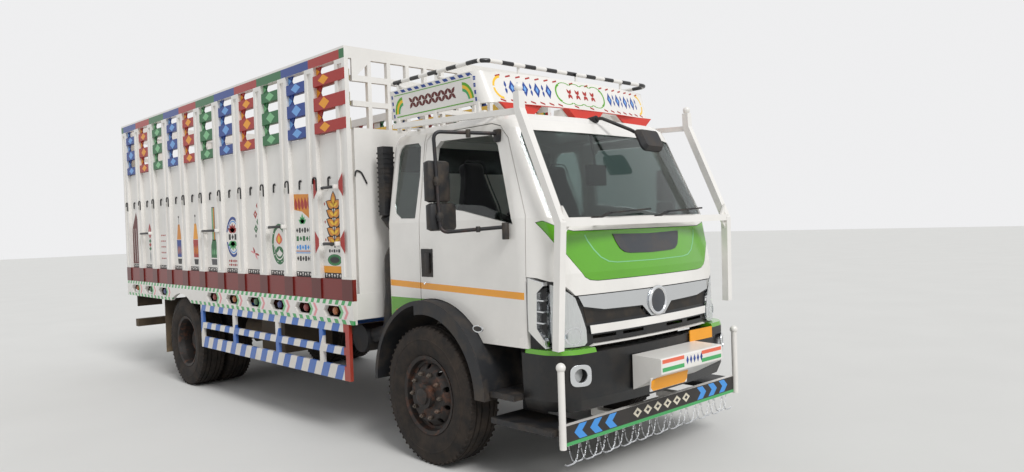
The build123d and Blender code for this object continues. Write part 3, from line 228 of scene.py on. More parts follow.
@dataclass(frozen=True)
class Enamel(Finish):
    """Gloss enamel sprayed or brushed on sheet steel.

    The eye sees an even colour with a faint orange peel, slightly faded in patches, and road dust that
    gathers towards the sills and dulls the gloss there.
    """

    colour: Hue
    zones: tuple[Zone, ...] = ()
    roughness: float = 0.3
    peel_mm: float = 3.0
    peel_depth: float = 0.04
    dust: float = 0.35
    dust_top: float = 1.25
    coat: float = 0.25
    dust_colour: str = "#9C8566"

    def shade(self, tree: NodeTree, shader: Node, place: NodeSocket) -> None:
        """Paints the zones in turn, then fades, dusts and dulls them.

        Args:
            tree: the material's node tree.
            shader: its principled shader.
            place: the output that gives the place.
        """
        axes = add_node(tree, "SeparateXYZ", {0: place})
        spread = add_node(tree, "Math", {0: axes.outputs["X"]}, operation="ABSOLUTE")
        colour = add_node(tree, "RGB")
        colour.outputs[0].default_value = linear(self.colour.value)
        for zone in self.zones:
            colour = self.paint_zone(tree, zone, colour, axes, spread)
        patches = add_node(tree, "TexNoise", {"Vector": place}, {"Scale": 2.2, "Detail": 5.0, "Roughness": 0.62})
        fade = add_node(tree, "MapRange", {"Value": patches},
                        {"From Min": 0.35, "From Max": 0.75, "To Min": 1.0, "To Max": 0.9})
        faded = add_node(tree, "VectorMath", {0: colour, 1: fade}, operation="MULTIPLY")
        low = add_node(tree, "MapRange", {"Value": axes.outputs["Z"]},
                       {"From Min": 0.3, "From Max": self.dust_top, "To Min": self.dust, "To Max": 0.02})
        streaks = add_node(tree, "TexNoise", {"Vector": place}, {"Scale": 9.0, "Detail": 8.0, "Roughness": 0.7})
        dusty = add_node(tree, "Math", {0: low, 1: streaks}, operation="MULTIPLY")
        add_node(tree, "Mix", {"Factor": dusty, "A": faded}, {"B": linear(self.dust_colour)},
                 shader.inputs["Base Color"], data_type="RGBA")
        add_node(tree, "Math", {0: dusty}, {1: 1.3, 2: self.roughness}, shader.inputs["Roughness"],
                 operation="MULTIPLY_ADD")
        peel = add_node(tree, "TexNoise", {"Vector": place}, {"Scale": 1 / (self.peel_mm * MM), "Detail": 1.0})
        add_node(tree, "Bump", {"Height": peel}, {"Strength": self.peel_depth, "Distance": 1 * MM},
                 shader.inputs["Normal"])
        shader.inputs["Coat Weight"].default_value = self.coat
        shader.inputs["Coat Roughness"].default_value = 0.12

    def paint_zone(self, tree: NodeTree, zone: Zone, below: Node, axes: Node, spread: Node) -> Node:
        """Paints one zone over the colour below it.

        Args:
            tree: the material's node tree.
            zone: the area and its colours.
            below: the node that gives the colour under it.
            axes: the node that splits the coordinates.
            spread: the node that gives the distance from the truck's middle.

        Returns:
            The node that gives the colour with the zone painted.
        """
        climbed = add_node(tree, "Math", {0: axes.outputs["Y"], 2: axes.outputs["Z"]}, {1: -zone.climb},
                           operation="MULTIPLY_ADD")
        mask = None
        for span, source in ((zone.across, spread), (zone.along, axes.outputs["Y"]), (zone.up, climbed)):
            if span is None:
                continue
            inside = add_node(tree, "Math", {0: source}, {1: sum(span) / 2, 2: (span[1] - span[0]) / 2},
                              operation="COMPARE")
            mask = add_node(tree, "Math", {0: mask, 1: inside}, operation="MULTIPLY") if mask else inside
        blend = add_node(tree, "Mix", {"A": below, **({"Factor": mask} if mask else {})}, {"Factor": 1.0},
                         data_type="RGBA")
        if len(zone.colours) == 1:
            plug(blend.inputs, "B").default_value = linear(zone.colours[0].value)
            return blend
        run = axes.outputs["Y" if zone.stripes_along else "X"]
        slanted = add_node(tree, "Math", {0: axes.outputs["Z"], 2: run}, {1: zone.lean}, operation="MULTIPLY_ADD")
        count = len(zone.colours)
        turns = add_node(tree, "Math", {0: slanted},
                         {1: 1 / (zone.pitch * count), 2: -zone.start / (zone.pitch * count)},
                         operation="MULTIPLY_ADD")
        place_in_turn = add_node(tree, "Math", {0: turns}, operation="FRACT")
        chooser = add_node(tree, "ValToRGB", {0: place_in_turn}, into=plug(blend.inputs, "B"))
        ramp = chooser.color_ramp
        ramp.interpolation = "CONSTANT"
        for index, hue in enumerate(zone.colours):
            stop = ramp.elements[index] if index < 2 else ramp.elements.new(index / count)
            stop.position = index / count
            stop.color = linear(hue.value)
        return blend


@dataclass(frozen=True)
class Moulding(Finish):
    """Injection-moulded plastic or a rubber moulding, with a fine spark-eroded grain."""

    colour: str = "#1B1C1F"
    roughness: float = 0.55
    grain_mm: float = 1.2
    grain_depth: float = 0.25
    dust: float = 0.3
    dust_colour: str = "#7C6A55"

    def shade(self, tree: NodeTree, shader: Node, place: NodeSocket) -> None:
        """Lets dust settle in clouds over the grained plastic.

        Args:
            tree: the material's node tree.
            shader: its principled shader.
            place: the output that gives the place.
        """
        cloud = add_node(tree, "TexNoise", {"Vector": place}, {"Scale": 6.0, "Detail": 7.0, "Roughness": 0.65})
        settled = add_node(tree, "MapRange", {"Value": cloud},
                           {"From Min": 0.45, "From Max": 0.8, "To Min": 0.0, "To Max": self.dust})
        add_node(tree, "Mix", {"Factor": settled}, {"A": linear(self.colour), "B": linear(self.dust_colour)},
                 shader.inputs["Base Color"], data_type="RGBA")
        add_node(tree, "Math", {0: settled}, {1: 0.8, 2: self.roughness}, shader.inputs["Roughness"],
                 operation="MULTIPLY_ADD")
        grain = add_node(tree, "TexVoronoi", {"Vector": place}, {"Scale": 1 / (self.grain_mm * MM)})
        add_node(tree, "Bump", {"Height": grain}, {"Strength": self.grain_depth, "Distance": 0.3 * MM},
                 shader.inputs["Normal"])


@dataclass(frozen=True)
class BareMetal(Finish):
    """Bare or plated metal: chrome, galvanised chain, or oily cast iron with rust blooming on it."""

    colour: str
    roughness: float
    metallic: float = 1.0
    rust: float = 0.0
    grain_mm: float = 4.0
    grain_depth: float = 0.1
    rust_colour: str = "#6B4029"

    def shade(self, tree: NodeTree, shader: Node, place: NodeSocket) -> None:
        """Lets rust bloom, which isn't metallic, and smears the shine.

        Args:
            tree: the material's node tree.
            shader: its principled shader.
            place: the output that gives the place.
        """
        bloom = add_node(tree, "TexNoise", {"Vector": place}, {"Scale": 11.0, "Detail": 9.0, "Roughness": 0.68})
        rusty = add_node(tree, "MapRange", {"Value": bloom},
                         {"From Min": 0.5, "From Max": 0.72, "To Min": 0.0, "To Max": self.rust})
        add_node(tree, "Mix", {"Factor": rusty}, {"A": linear(self.colour), "B": linear(self.rust_colour)},
                 shader.inputs["Base Color"], data_type="RGBA")
        add_node(tree, "Math", {0: rusty}, {1: -self.metallic, 2: self.metallic}, shader.inputs["Metallic"],
                 operation="MULTIPLY_ADD")
        add_node(tree, "MapRange", {"Value": bloom},
                 {"From Min": 0.3, "From Max": 0.8, "To Min": self.roughness, "To Max": self.roughness + 0.18},
                 shader.inputs["Roughness"])
        grain = add_node(tree, "TexNoise", {"Vector": place}, {"Scale": 1 / (self.grain_mm * MM), "Detail": 3.0})
        add_node(tree, "Bump", {"Height": grain}, {"Strength": self.grain_depth, "Distance": 0.5 * MM},
                 shader.inputs["Normal"])


# A wave texture of this scale, over a wavelength in metres, has one band to that length
WAVE_SCALE = 0.314


@dataclass(frozen=True)
class Pane(Finish):
    """Toughened glass or a moulded clear lens, with a film of dust and, on a lens, upright flutes."""

    colour: str
    roughness: float = 0.03
    index: float = 1.5
    clear: float = 1.0
    flute_mm: float = 0.0
    film: float = 0.08
    film_colour: str = "#B7B2A6"

    def shade(self, tree: NodeTree, shader: Node, place: NodeSocket) -> None:
        """Makes the surface clear, smears it and cuts its flutes.

        Args:
            tree: the material's node tree.
            shader: its principled shader.
            place: the output that gives the place.
        """
        shader.inputs["IOR"].default_value = self.index
        shader.inputs["Transmission Weight"].default_value = self.clear
        smears = add_node(tree, "TexNoise", {"Vector": place}, {"Scale": 4.0, "Detail": 6.0, "Roughness": 0.6})
        film = add_node(
            tree, "MapRange", {"Value": smears},
            {"From Min": 0.4, "From Max": 0.8, "To Min": self.roughness, "To Max": self.roughness + self.film},
            shader.inputs["Roughness"],
        )
        add_node(tree, "Mix", {"Factor": film}, {"A": linear(self.colour), "B": linear(self.film_colour)},
                 shader.inputs["Base Color"], data_type="RGBA")
        if self.flute_mm:
            flutes = add_node(tree, "TexWave", {"Vector": place}, {"Scale": WAVE_SCALE / (self.flute_mm * MM)},
                              bands_direction="X", wave_profile="SIN")
            add_node(tree, "Bump", {"Height": flutes.outputs["Fac"]}, {"Strength": 0.6, "Distance": 1.5 * MM},
                     shader.inputs["Normal"])


@dataclass(frozen=True)
class TyreRubber(Finish):
    """Carbon-black tyre rubber: matt, with brown road dust settled on it in clouds."""

    name: str = "Carbon-black tyre rubber"
    colour: str = "#1C1B1B"
    dust_colour: str = "#5A4B3E"

    def shade(self, tree: NodeTree, shader: Node, place: NodeSocket) -> None:
        """Lets dust settle on rough rubber.

        Args:
            tree: the material's node tree.
            shader: its principled shader.
            place: the output that gives the place.
        """
        cloud = add_node(tree, "TexNoise", {"Vector": place}, {"Scale": 7.0, "Detail": 9.0, "Roughness": 0.7})
        settled = add_node(tree, "MapRange", {"Value": cloud},
                           {"From Min": 0.4, "From Max": 0.75, "To Min": 0.05, "To Max": 0.42})
        add_node(tree, "Mix", {"Factor": settled}, {"A": linear(self.colour), "B": linear(self.dust_colour)},
                 shader.inputs["Base Color"], data_type="RGBA")
        shader.inputs["Roughness"].default_value = 0.82
        shader.inputs["Specular IOR Level"].default_value = 0.3
        skin = add_node(tree, "TexNoise", {"Vector": place}, {"Scale": 300.0, "Detail": 3.0})
        add_node(tree, "Bump", {"Height": skin}, {"Strength": 0.35, "Distance": 0.6 * MM}, shader.inputs["Normal"])


@dataclass(frozen=True)
class SeatCloth(Finish):
    """Woven seat cloth: crossed threads whose raised tops are painted lighter as a painted sheen, under the shader's
    own soft sheen.
    """

    name: str = "Woven black seat cloth"
    low_colour: str = "#0B0B0D"
    painted_sheen_colour: str = "#232328"
    thread_mm: float = 3.0

    def shade(self, tree: NodeTree, shader: Node, place: NodeSocket) -> None:
        """Weaves upright threads through level ones and paints their raised tops lighter as a painted sheen.

        Args:
            tree: the material's node tree.
            shader: its principled shader.
            place: the output that gives the place.
        """
        upright, level = (
            add_node(tree, "TexWave", {"Vector": place}, {"Scale": WAVE_SCALE / (self.thread_mm * MM)},
                     bands_direction=direction).outputs["Fac"]
            for direction in ("X", "Z")
        )
        weave = add_node(tree, "Math", {0: upright, 1: level}, operation="MAXIMUM")
        # painted sheen: the raised thread tops take the lighter colour
        add_node(tree, "Mix", {"Factor": weave}, {"A": linear(self.low_colour), "B": linear(self.painted_sheen_colour)},
                 shader.inputs["Base Color"], data_type="RGBA")
        shader.inputs["Roughness"].default_value = 0.9
        shader.inputs["Sheen Weight"].default_value = 0.35
        add_node(tree, "Bump", {"Height": weave}, {"Strength": 0.5, "Distance": 0.8 * MM}, shader.inputs["Normal"])


@dataclass(frozen=True)
class StudioFloor(Finish):
    """Pale matt paint on a level floor, mottled very slightly."""

    name: str = "Pale matt studio floor"
    colour: str = "#DAD9D6"
    mottle_colour: str = "#D3D2CF"

    def shade(self, tree: NodeTree, shader: Node, place: NodeSocket) -> None:
        """Mottles the paint and keeps it matt.

        Args:
            tree: the material's node tree.
            shader: its principled shader.
            place: the output that gives the place.
        """
        mottle = add_node(tree, "TexNoise", {"Vector": place}, {"Scale": 0.8, "Detail": 4.0})
        add_node(tree, "Mix", {"Factor": mottle}, {"A": linear(self.colour), "B": linear(self.mottle_colour)},
                 shader.inputs["Base Color"], data_type="RGBA")
        shader.inputs["Roughness"].default_value = 0.95
        shader.inputs["Specular IOR Level"].default_value = 0.1


def deselect() -> None:
    """Leaves edit mode and selects nothing."""
    if bpy.context.mode != "OBJECT":
        bpy.ops.object.mode_set(mode="OBJECT")
    bpy.ops.object.select_all(action="DESELECT")


def take(*pieces: Object) -> Object:
    """Selects these pieces alone and makes the first one active.

    Returns:
        The same object.
    """
    deselect()
    for piece in pieces:
        piece.select_set(True)
    bpy.context.view_layer.objects.active = pieces[0]
    return pieces[0]


def modify(piece: Object, name: str, kind: str, **settings: object) -> Object:
    """Adds a modifier to a piece and applies it.

    Args:
        piece: the piece to change.
        name: what the modifier is for.
        kind: the modifier's type.
        settings: the modifier's own settings.

    Returns:
        The changed piece.
    """
    take(piece)
    modifier = piece.modifiers.new(name, kind)
    for key, value in settings.items():
        setattr(modifier, key, value)
    bpy.ops.object.modifier_apply(modifier=modifier.name)
    return piece


def face_outwards(piece: Object) -> Object:
    """Turns every face of a closed piece outwards.

    Args:
        piece: the object whose faces are turned.

    Returns:
        The same object.
    """
    take(piece)
    bpy.ops.object.mode_set(mode="EDIT")
    bpy.ops.mesh.select_all(action="SELECT")
    bpy.ops.mesh.remove_doubles(threshold=0.01 * MM)
    bpy.ops.mesh.normals_make_consistent(inside=False)
    bpy.ops.object.mode_set(mode="OBJECT")
    return piece


def block(low: Point, high: Point, edge: float = 0.0) -> Object:
    """Shapes a box between two corners, with its edges rounded.

    Args:
        low: the lowest corner.
        high: the highest corner.
        edge: the width of the rounding, in metres.

    Returns:
        The box.
    """
    deselect()
    bpy.ops.mesh.primitive_cube_add(size=1, enter_editmode=True)
    bpy.ops.transform.resize(value=[b - a for a, b in zip(low, high)])
    bpy.ops.transform.translate(value=[(a + b) / 2 for a, b in zip(low, high)])
    if edge:
        bpy.ops.mesh.bevel(offset=edge, segments=2, affect="EDGES")
    bpy.ops.object.mode_set(mode="OBJECT")
    return bpy.context.object


def side_block(side: int, out: Span, y: Span, z: Span, edge: float = 0.0) -> Object:
    """Shapes a box on one side of the truck.

    Args:
        side: -1 for the right side, 1 for the left one.
        out: its nearest and furthest distances from the truck's middle.
        y: its span along the truck.
        z: its span of height.
        edge: the width of the rounding, in metres.

    Returns:
        The box.
    """
    near, far = sorted((side * out[0], side * out[1]))
    return block((near, y[0], z[0]), (far, y[1], z[1]), edge)


def settle(piece: Object, place: Matrix) -> Object:
    """Puts a piece in its place on the truck and writes that place into its mesh.

    Args:
        piece: the piece, shaped about the origin.
        place: where it goes; one that mirrors it has its faces turned outwards again.

    Returns:
        The piece.
    """
    take(piece)
    piece.matrix_world = place
    bpy.ops.object.transform_apply(location=True, rotation=True, scale=True)
    if place.determinant() < 0:
        face_outwards(piece)
    return piece


def drum(radius: float, depth: float, sides: int = 24, edge: float = 0.0) -> Object:
    """Shapes a round bar that stands on z = 0.

    Args:
        radius: the bar's radius.
        depth: the bar's height.
        sides: the number of faces round it.
        edge: the width of the rounding at its rims.

    Returns:
        The bar.
    """
    deselect()
    bpy.ops.mesh.primitive_cylinder_add(
        vertices=sides, radius=radius, depth=depth, location=(0, 0, depth / 2), enter_editmode=True,
    )
    if edge:
        bpy.ops.mesh.select_mode(type="EDGE")
        bpy.ops.mesh.select_all(action="DESELECT")
        bpy.ops.mesh.edges_select_sharp(sharpness=radians(60))
        bpy.ops.mesh.bevel(offset=edge, segments=2, affect="EDGES")
        bpy.ops.mesh.select_mode(type="VERT")
    bpy.ops.object.mode_set(mode="OBJECT")
    bpy.ops.object.transform_apply(location=True)
    return bpy.context.object


def rod(start: Point, end: Point, radius: float, sides: int = 16, edge: float = 0.0) -> Object:
    """Shapes a straight round bar between two points.

    Args:
        start: the middle of one end.
        end: the middle of the other.
        radius: the bar's radius.
        sides: the number of faces round it.
        edge: the width of the rounding at its rims.

    Returns:
        The bar.
    """
    run = Vector(end) - Vector(start)
    place = Matrix.Translation(start) @ run.to_track_quat("Z", "Y").to_matrix().to_4x4()
    return settle(drum(radius, run.length, sides, edge), place)


def trace(points: Iterable[Point]) -> Object:
    """Draws a chain of edges through points, one extrusion after another.

    Args:
        points: the corners in turn.

    Returns:
        The chain, still in edit mode.
    """
    route = [Vector(point) for point in points]
    deselect()
    bpy.ops.mesh.primitive_plane_add(size=1, enter_editmode=True)
    bpy.ops.mesh.select_mode(type="VERT")
    bpy.ops.mesh.select_all(action="SELECT")
    bpy.ops.mesh.merge(type="CENTER")
    bpy.ops.transform.translate(value=route[0])
    for before, after in zip(route, route[1:]):
        bpy.ops.mesh.extrude_vertices_move(TRANSFORM_OT_translate={"value": after - before})
    return bpy.context.object


def draw(outline: Iterable[Span], thickness: float) -> Object:
    """Cuts a plate with the given outline, lying on z = 0.

    Args:
        outline: the corners in turn, without closing it.
        thickness: the plate's thickness upwards; 0 leaves a single face.

    Returns:
        The plate.
    """
    piece = trace((u, v, 0.0) for u, v in outline)
    bpy.ops.mesh.select_all(action="SELECT")
    bpy.ops.mesh.edge_face_add()
    if thickness:
        bpy.ops.mesh.extrude_region_move(TRANSFORM_OT_translate={"value": (0, 0, thickness)})
        bpy.ops.mesh.select_all(action="SELECT")
        bpy.ops.mesh.normals_make_consistent(inside=False)
    bpy.ops.object.mode_set(mode="OBJECT")
    return piece


def tube(points: Iterable[Point], radius: float, corner: float = 0.0, sides: int = 4) -> Object:
    """Bends a round bar through points.

    Args:
        points: the middle line's corners.
        radius: the bar's radius.
        corner: how far from each corner its bend starts.
        sides: half the number of faces round the bar, less two.

    Returns:
        The bar.
    """
    trace(points)
    bpy.ops.mesh.select_all(action="SELECT")
    if corner:
        bpy.ops.mesh.bevel(offset=corner, segments=4, affect="VERTICES")
    bpy.ops.object.mode_set(mode="OBJECT")
    bpy.ops.object.convert(target="CURVE")
    line = bpy.context.object.data
    line.bevel_depth = radius
    line.bevel_resolution = sides
    line.use_fill_caps = True
    bpy.ops.object.convert(target="MESH")
    return face_outwards(bpy.context.object)


def turned(profile: Iterable[Span], steps: int = 48, place: Matrix = Matrix(), closed: bool = True) -> Object:
    """Turns a profile about its own z axis, as on a lathe.

    Args:
        profile: distance from the axis and height, from one end to the other.
        steps: the number of faces round the piece.
        place: where its axis stands on the truck.
        closed: whether the profile's last corner is joined to its first one.

    Returns:
        The turned piece.
    """
    corners = list(profile)
    trace((radius, 0.0, height) for radius, height in corners + corners[:1] * closed)
    bpy.ops.mesh.select_all(action="SELECT")
    bpy.ops.mesh.spin(steps=steps, angle=2 * pi, center=(0, 0, 0), axis=(0, 0, 1))
    bpy.ops.object.mode_set(mode="OBJECT")
    return settle(face_outwards(bpy.context.object), place)


def copies(piece: Object, places: Iterable[Matrix]) -> Object:
    """Copies a piece to several places, each copy with its own mesh, and joins them.

    Args:
        piece: the piece to copy, which is used up.
        places: where the copies go.

    Returns:
        The joined copies.
    """
    made = []
    for place in places:
        twin = piece.copy()
        twin.data = piece.data.copy()
        bpy.context.collection.objects.link(twin)
        made.append(settle(twin, place))
    bpy.data.objects.remove(piece)
    return join(made)


def ring_of(count: int, turn: float = 0.0) -> list[Matrix]:
    """The turns about z that set out a number of pieces evenly, from the given angle on."""
    return [Matrix.Rotation(turn + 2 * pi * k / count, 4, "Z") for k in range(count)]


def join(pieces: list) -> Object:
    """Makes one object of several.

    Args:
        pieces: the objects, of which the first takes in the others.

    Returns:
        The joined object.
    """
    take(*pieces)
    if len(pieces) > 1:
        bpy.ops.object.join()
    return bpy.context.object


def coat(piece: Object, material: Material) -> Object:
    """Gives a piece one finish all over.

    Args:
        piece: the object to paint.
        material: its only material.

    Returns:
        The same object.
    """
    piece.data.materials.clear()
    piece.data.materials.append(material)
    return piece


def fit(
    piece: Object, name: str, body: str = "root", material: Material = None,
    smooth: float = 0.0, edge: float = 0.0,
) -> Object:
    """Finishes a piece and fits it to the truck.

    Args:
        piece: the piece, at its place.
        name: its name.
        body: the part of the truck that it moves with.
        material: its finish, where it has only one.
        smooth: the angle in degrees under which its faces are shaded as one.
        edge: the width of the bevel along its edges.

    Returns:
        The piece.
    """
    take(piece)
    if edge:
        modify(piece, "Rounded edges", "BEVEL", width=edge, segments=2, limit_method="ANGLE")
    if smooth:
        bpy.ops.object.shade_smooth_by_angle(angle=radians(smooth))
    piece.name = name
    piece.data.name = name
    if material:
        coat(piece, material)
    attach(piece, body)
    log.info("%s: %d faces on %s", name, len(piece.data.polygons), body)
    return piece


def on_wall(side: int, x: float, y: float = 0.0, z: float = 0.0) -> Matrix:
    """The place of a drawing on a wall that faces sideways: u along the truck, v up, w outwards."""
    return Matrix(((0, 0, side, side * x), (1, 0, 0, y), (0, 1, 0, z), (0, 0, 0, 1)))


def on_front(y: float, x: float = 0.0, z: float = 0.0) -> Matrix:
    """The place of a drawing on a face that looks ahead: u to the truck's left, v up, w ahead."""
    return Matrix(((1, 0, 0, x), (0, 0, -1, y), (0, 1, 0, z), (0, 0, 0, 1)))


def on_rear(y: float, x: float = 0.0, z: float = 0.0) -> Matrix:
    """The place of a drawing on a face that looks back: u to the truck's right, v up, w back."""
    return Matrix(((-1, 0, 0, x), (0, 0, 1, y), (0, 1, 0, z), (0, 0, 0, 1)))


def oblong(u: Span, v: Span) -> list:
    """The corners of an oblong."""
    return [(u[0], v[0]), (u[1], v[0]), (u[1], v[1]), (u[0], v[1])]


def diamond(u: float, v: float, half_u: float, half_v: float) -> list:
    """The corners of a diamond."""
    return [(u - half_u, v), (u, v - half_v), (u + half_u, v), (u, v + half_v)]


def circle(u: float, v: float, radius: float, sides: int = 28, tall: float = 1.0) -> list:
    """Points round a circle, or an oval of which tall is the height over the width."""
    turns = (2 * pi * k / sides for k in range(sides))
    return [(u + radius * cos(a), v + tall * radius * sin(a)) for a in turns]


def petal(u: float, v: float, length: float, width: float, turn: float, points: int = 7) -> list:
    """The outline of a pointed petal.

    Args:
        u: where it grows from, along the face.
        v: where it grows from, up the face.
        length: from its root to its tip.
        width: across its broadest part.
        turn: the angle that it points in, in degrees.
        points: the number of corners along each of its edges.

    Returns:
        Its corners.
    """
    a = radians(turn)
    rim = []
    for way, steps in ((1, range(points)), (-1, range(points - 2, 0, -1))):
        for k in steps:
            t = k / (points - 1)
            bulge = way * width / 2 * sin(pi * t ** 0.8)
            rim.append((u + length * t * cos(a) - bulge * sin(a), v + length * t * sin(a) + bulge * cos(a)))
    return rim


def arc_band(u: float, v: float, inner: float, outer: float, start: float, end: float, tall: float = 1.0) -> list:
    """The outline of part of a ring.

    Args:
        u: its centre along the face.
        v: its centre up the face.
        inner: its inner radius.
        outer: its outer radius.
        start: the angle that it starts at, in degrees.
        end: the angle that it ends at, in degrees.
        tall: its height over its width.

    Returns:
        Its corners.
    """
    steps = max(4, int(abs(end - start) / 14))
    angles = [radians(start + (end - start) * k / steps) for k in range(steps + 1)]
    return [
        (u + radius * cos(a), v + tall * radius * sin(a))
        for radius, turns in ((outer, angles), (inner, angles[::-1])) for a in turns
    ]


def wrap(
    outline: list, place: Matrix, node: str, axis: str, thickness: float, step: float = 0.03, ahead: bool = True,
    reach: float = 0.0,
) -> Object:
    """Lays a flat shape on a curved solid, moved straight along one of the truck's axes.

    Args:
        outline: the shape's corners on its own plane.
        place: where that plane stands, clear of the solid.
        node: the solid that it is laid on.
        axis: the axis that it moves along, "X" or "Y".
        thickness: the thickness, half of it proud of the solid.
        step: the largest distance between its cuts, so that it can bend.
        ahead: whether it moves towards the axis's positive end.
        reach: where given, it moves both ways, but no further than this.

    Returns:
        The bent shape.
    """
    sheet = draw(outline, 0)
    take(sheet)
    bpy.ops.object.mode_set(mode="EDIT")
    for index in (0, 1):
        spread = [corner[index] for corner in outline]
        low, width = min(spread), max(spread) - min(spread)
        cuts = int(width / step)
        for k in range(1, cuts + 1):
            at, normal = Vector((0, 0, 0)), Vector((0, 0, 0))
            at[index] = low + k * width / (cuts + 1)
            normal[index] = 1
            bpy.ops.mesh.select_all(action="SELECT")
            bpy.ops.mesh.bisect(plane_co=at, plane_no=normal)
    bpy.ops.object.mode_set(mode="OBJECT")
    settle(sheet, place)
    modify(
        sheet, "Laid on the solid", "SHRINKWRAP", target=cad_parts[node], wrap_method="PROJECT",
        use_project_x=axis == "X", use_project_y=axis == "Y", use_project_z=False,
        use_negative_direction=not ahead or bool(reach), use_positive_direction=ahead or bool(reach),
        project_limit=reach,
    )
    return modify(sheet, "Thickness", "SOLIDIFY", thickness=thickness, offset=0)


def both_ways(outline: list) -> list:
    """Closes a half outline, drawn from the top middle to the bottom middle, with its mirror image."""
    return outline + [(-u, v) for u, v in reversed(outline) if abs(u) > 1e-6]


SIGN_PAINT: dict[Hue, Material] = {}


def sign_paint(hue: Hue) -> Material:
    """Brushed sign writer's enamel of one colour, made when it is first asked for.

    Args:
        hue: the paint's colour.

    Returns:
        The material, made once for each colour.
    """
    if hue not in SIGN_PAINT:
        word = hue.name.capitalize().replace("_", " ")
        brushed = Enamel(f"{word} sign writer's enamel", hue, roughness=0.42, peel_mm=5.0, dust=0.1, coat=0.0)
        SIGN_PAINT[hue] = brushed.make()
    return SIGN_PAINT[hue]


@dataclass
class Painting:
    """An ornament painted in flat shapes on one face of the truck, each coat a little proud of the last."""

    place: Matrix
    coat_mm: float = 0.6
    shapes: list = field(default_factory=list)

    def add(self, hue: Hue, outline: list, under: int = 0) -> None:
        """Paints one shape.

        Args:
            hue: its colour.
            outline: its corners on the face.
            under: how many coats lie under it.
        """
        plate = draw(outline, (1 + under) * self.coat_mm * MM)
        self.shapes.append(settle(coat(plate, sign_paint(hue)), self.place))

    def fit(self, name: str, slot: str = "body_white") -> Object:
        """Joins the shapes and fits them to the truck."""
        return fit(join(self.shapes), name)


@dataclass
class Studio:
    """The camera at the photograph's place, a pale floor and soft light."""

    eye: Point = (-4.564, -7.2, 1.793)
    yaw: float = 43.261
    pitch: float = -0.897
    roll: float = -1.914
    lens_mm: float = 26.86
    floor_size: float = 160.0
    sky_tint: tuple[float, float, float, float] = (0.86, 0.86, 0.8686, 1)
    fill_tint: tuple[float, float, float, float] = (0.96, 0.98, 1, 1)
    ambient: float = 0.62
    sun_strength: float = 2.0
    sun_angle: float = 22.0
    sun_direction: Point = (0.2, 0.8, -0.8)

    def build(self) -> None:
        """Sets up the camera, the light and the floor."""
        self.place_camera()
        self.light()
        self.lay_floor()
        bpy.context.scene.view_settings.view_transform = "Standard"

    def place_camera(self) -> None:
        """Puts the camera where the photograph was taken from."""
        yaw, pitch, roll = (radians(angle) for angle in (self.yaw, self.pitch, self.roll))
        ahead = Vector((sin(yaw) * cos(pitch), cos(yaw) * cos(pitch), sin(pitch)))
        level = Vector((cos(yaw), -sin(yaw), 0.0))
        upright = level.cross(ahead)
        right = level * cos(roll) + upright * sin(roll)
        up = upright * cos(roll) - level * sin(roll)
        bpy.ops.object.camera_add()
        camera = bpy.context.object
        camera.name = "Camera"
        camera.data.lens = self.lens_mm
        camera.data.sensor_width = 36.0
        camera.data.clip_end = 300.0
        turn = Matrix((right, up, -ahead)).transposed().to_4x4()
        camera.matrix_world = Matrix.Translation(self.eye) @ turn
        bpy.context.scene.camera = camera

    def light(self) -> None:
        """Hangs a broad soft sun ahead of the truck and fills in from all round."""
        bpy.ops.object.light_add(type="SUN")
        sun = bpy.context.object
        sun.name = "Soft sun"
        sun.data.energy = self.sun_strength
        sun.data.angle = radians(self.sun_angle)
        sun.rotation_euler = Vector(self.sun_direction).to_track_quat("-Z", "Y").to_euler()
        world = bpy.data.worlds.new("Studio")
        world.use_nodes = True
        bpy.context.scene.world = world
        tree = world.node_tree
        tree.nodes.clear()
        ray = add_node(tree, "LightPath").outputs
        seen = add_node(tree, "Math", {0: ray["Is Camera Ray"], 1: ray["Is Transmission Ray"]}, operation="MAXIMUM")
        shown = add_node(tree, "Math", {0: seen, 1: ray["Is Glossy Ray"]}, operation="MAXIMUM")
        fill = add_node(tree, "Background", values={"Color": self.fill_tint, "Strength": self.ambient})
        sky = add_node(tree, "Background", values={"Color": self.sky_tint, "Strength": 1.0})
        mix = add_node(tree, "MixShader", {0: shown, 1: fill, 2: sky})
        add_node(tree, "OutputWorld", {"Surface": mix})

    def lay_floor(self) -> None:
        """Lays the floor under the tyres."""
        deselect()
        bpy.ops.mesh.primitive_plane_add(size=self.floor_size)
        floor = bpy.context.object
        floor.name = "Floor"
        coat(floor, StudioFloor().make())


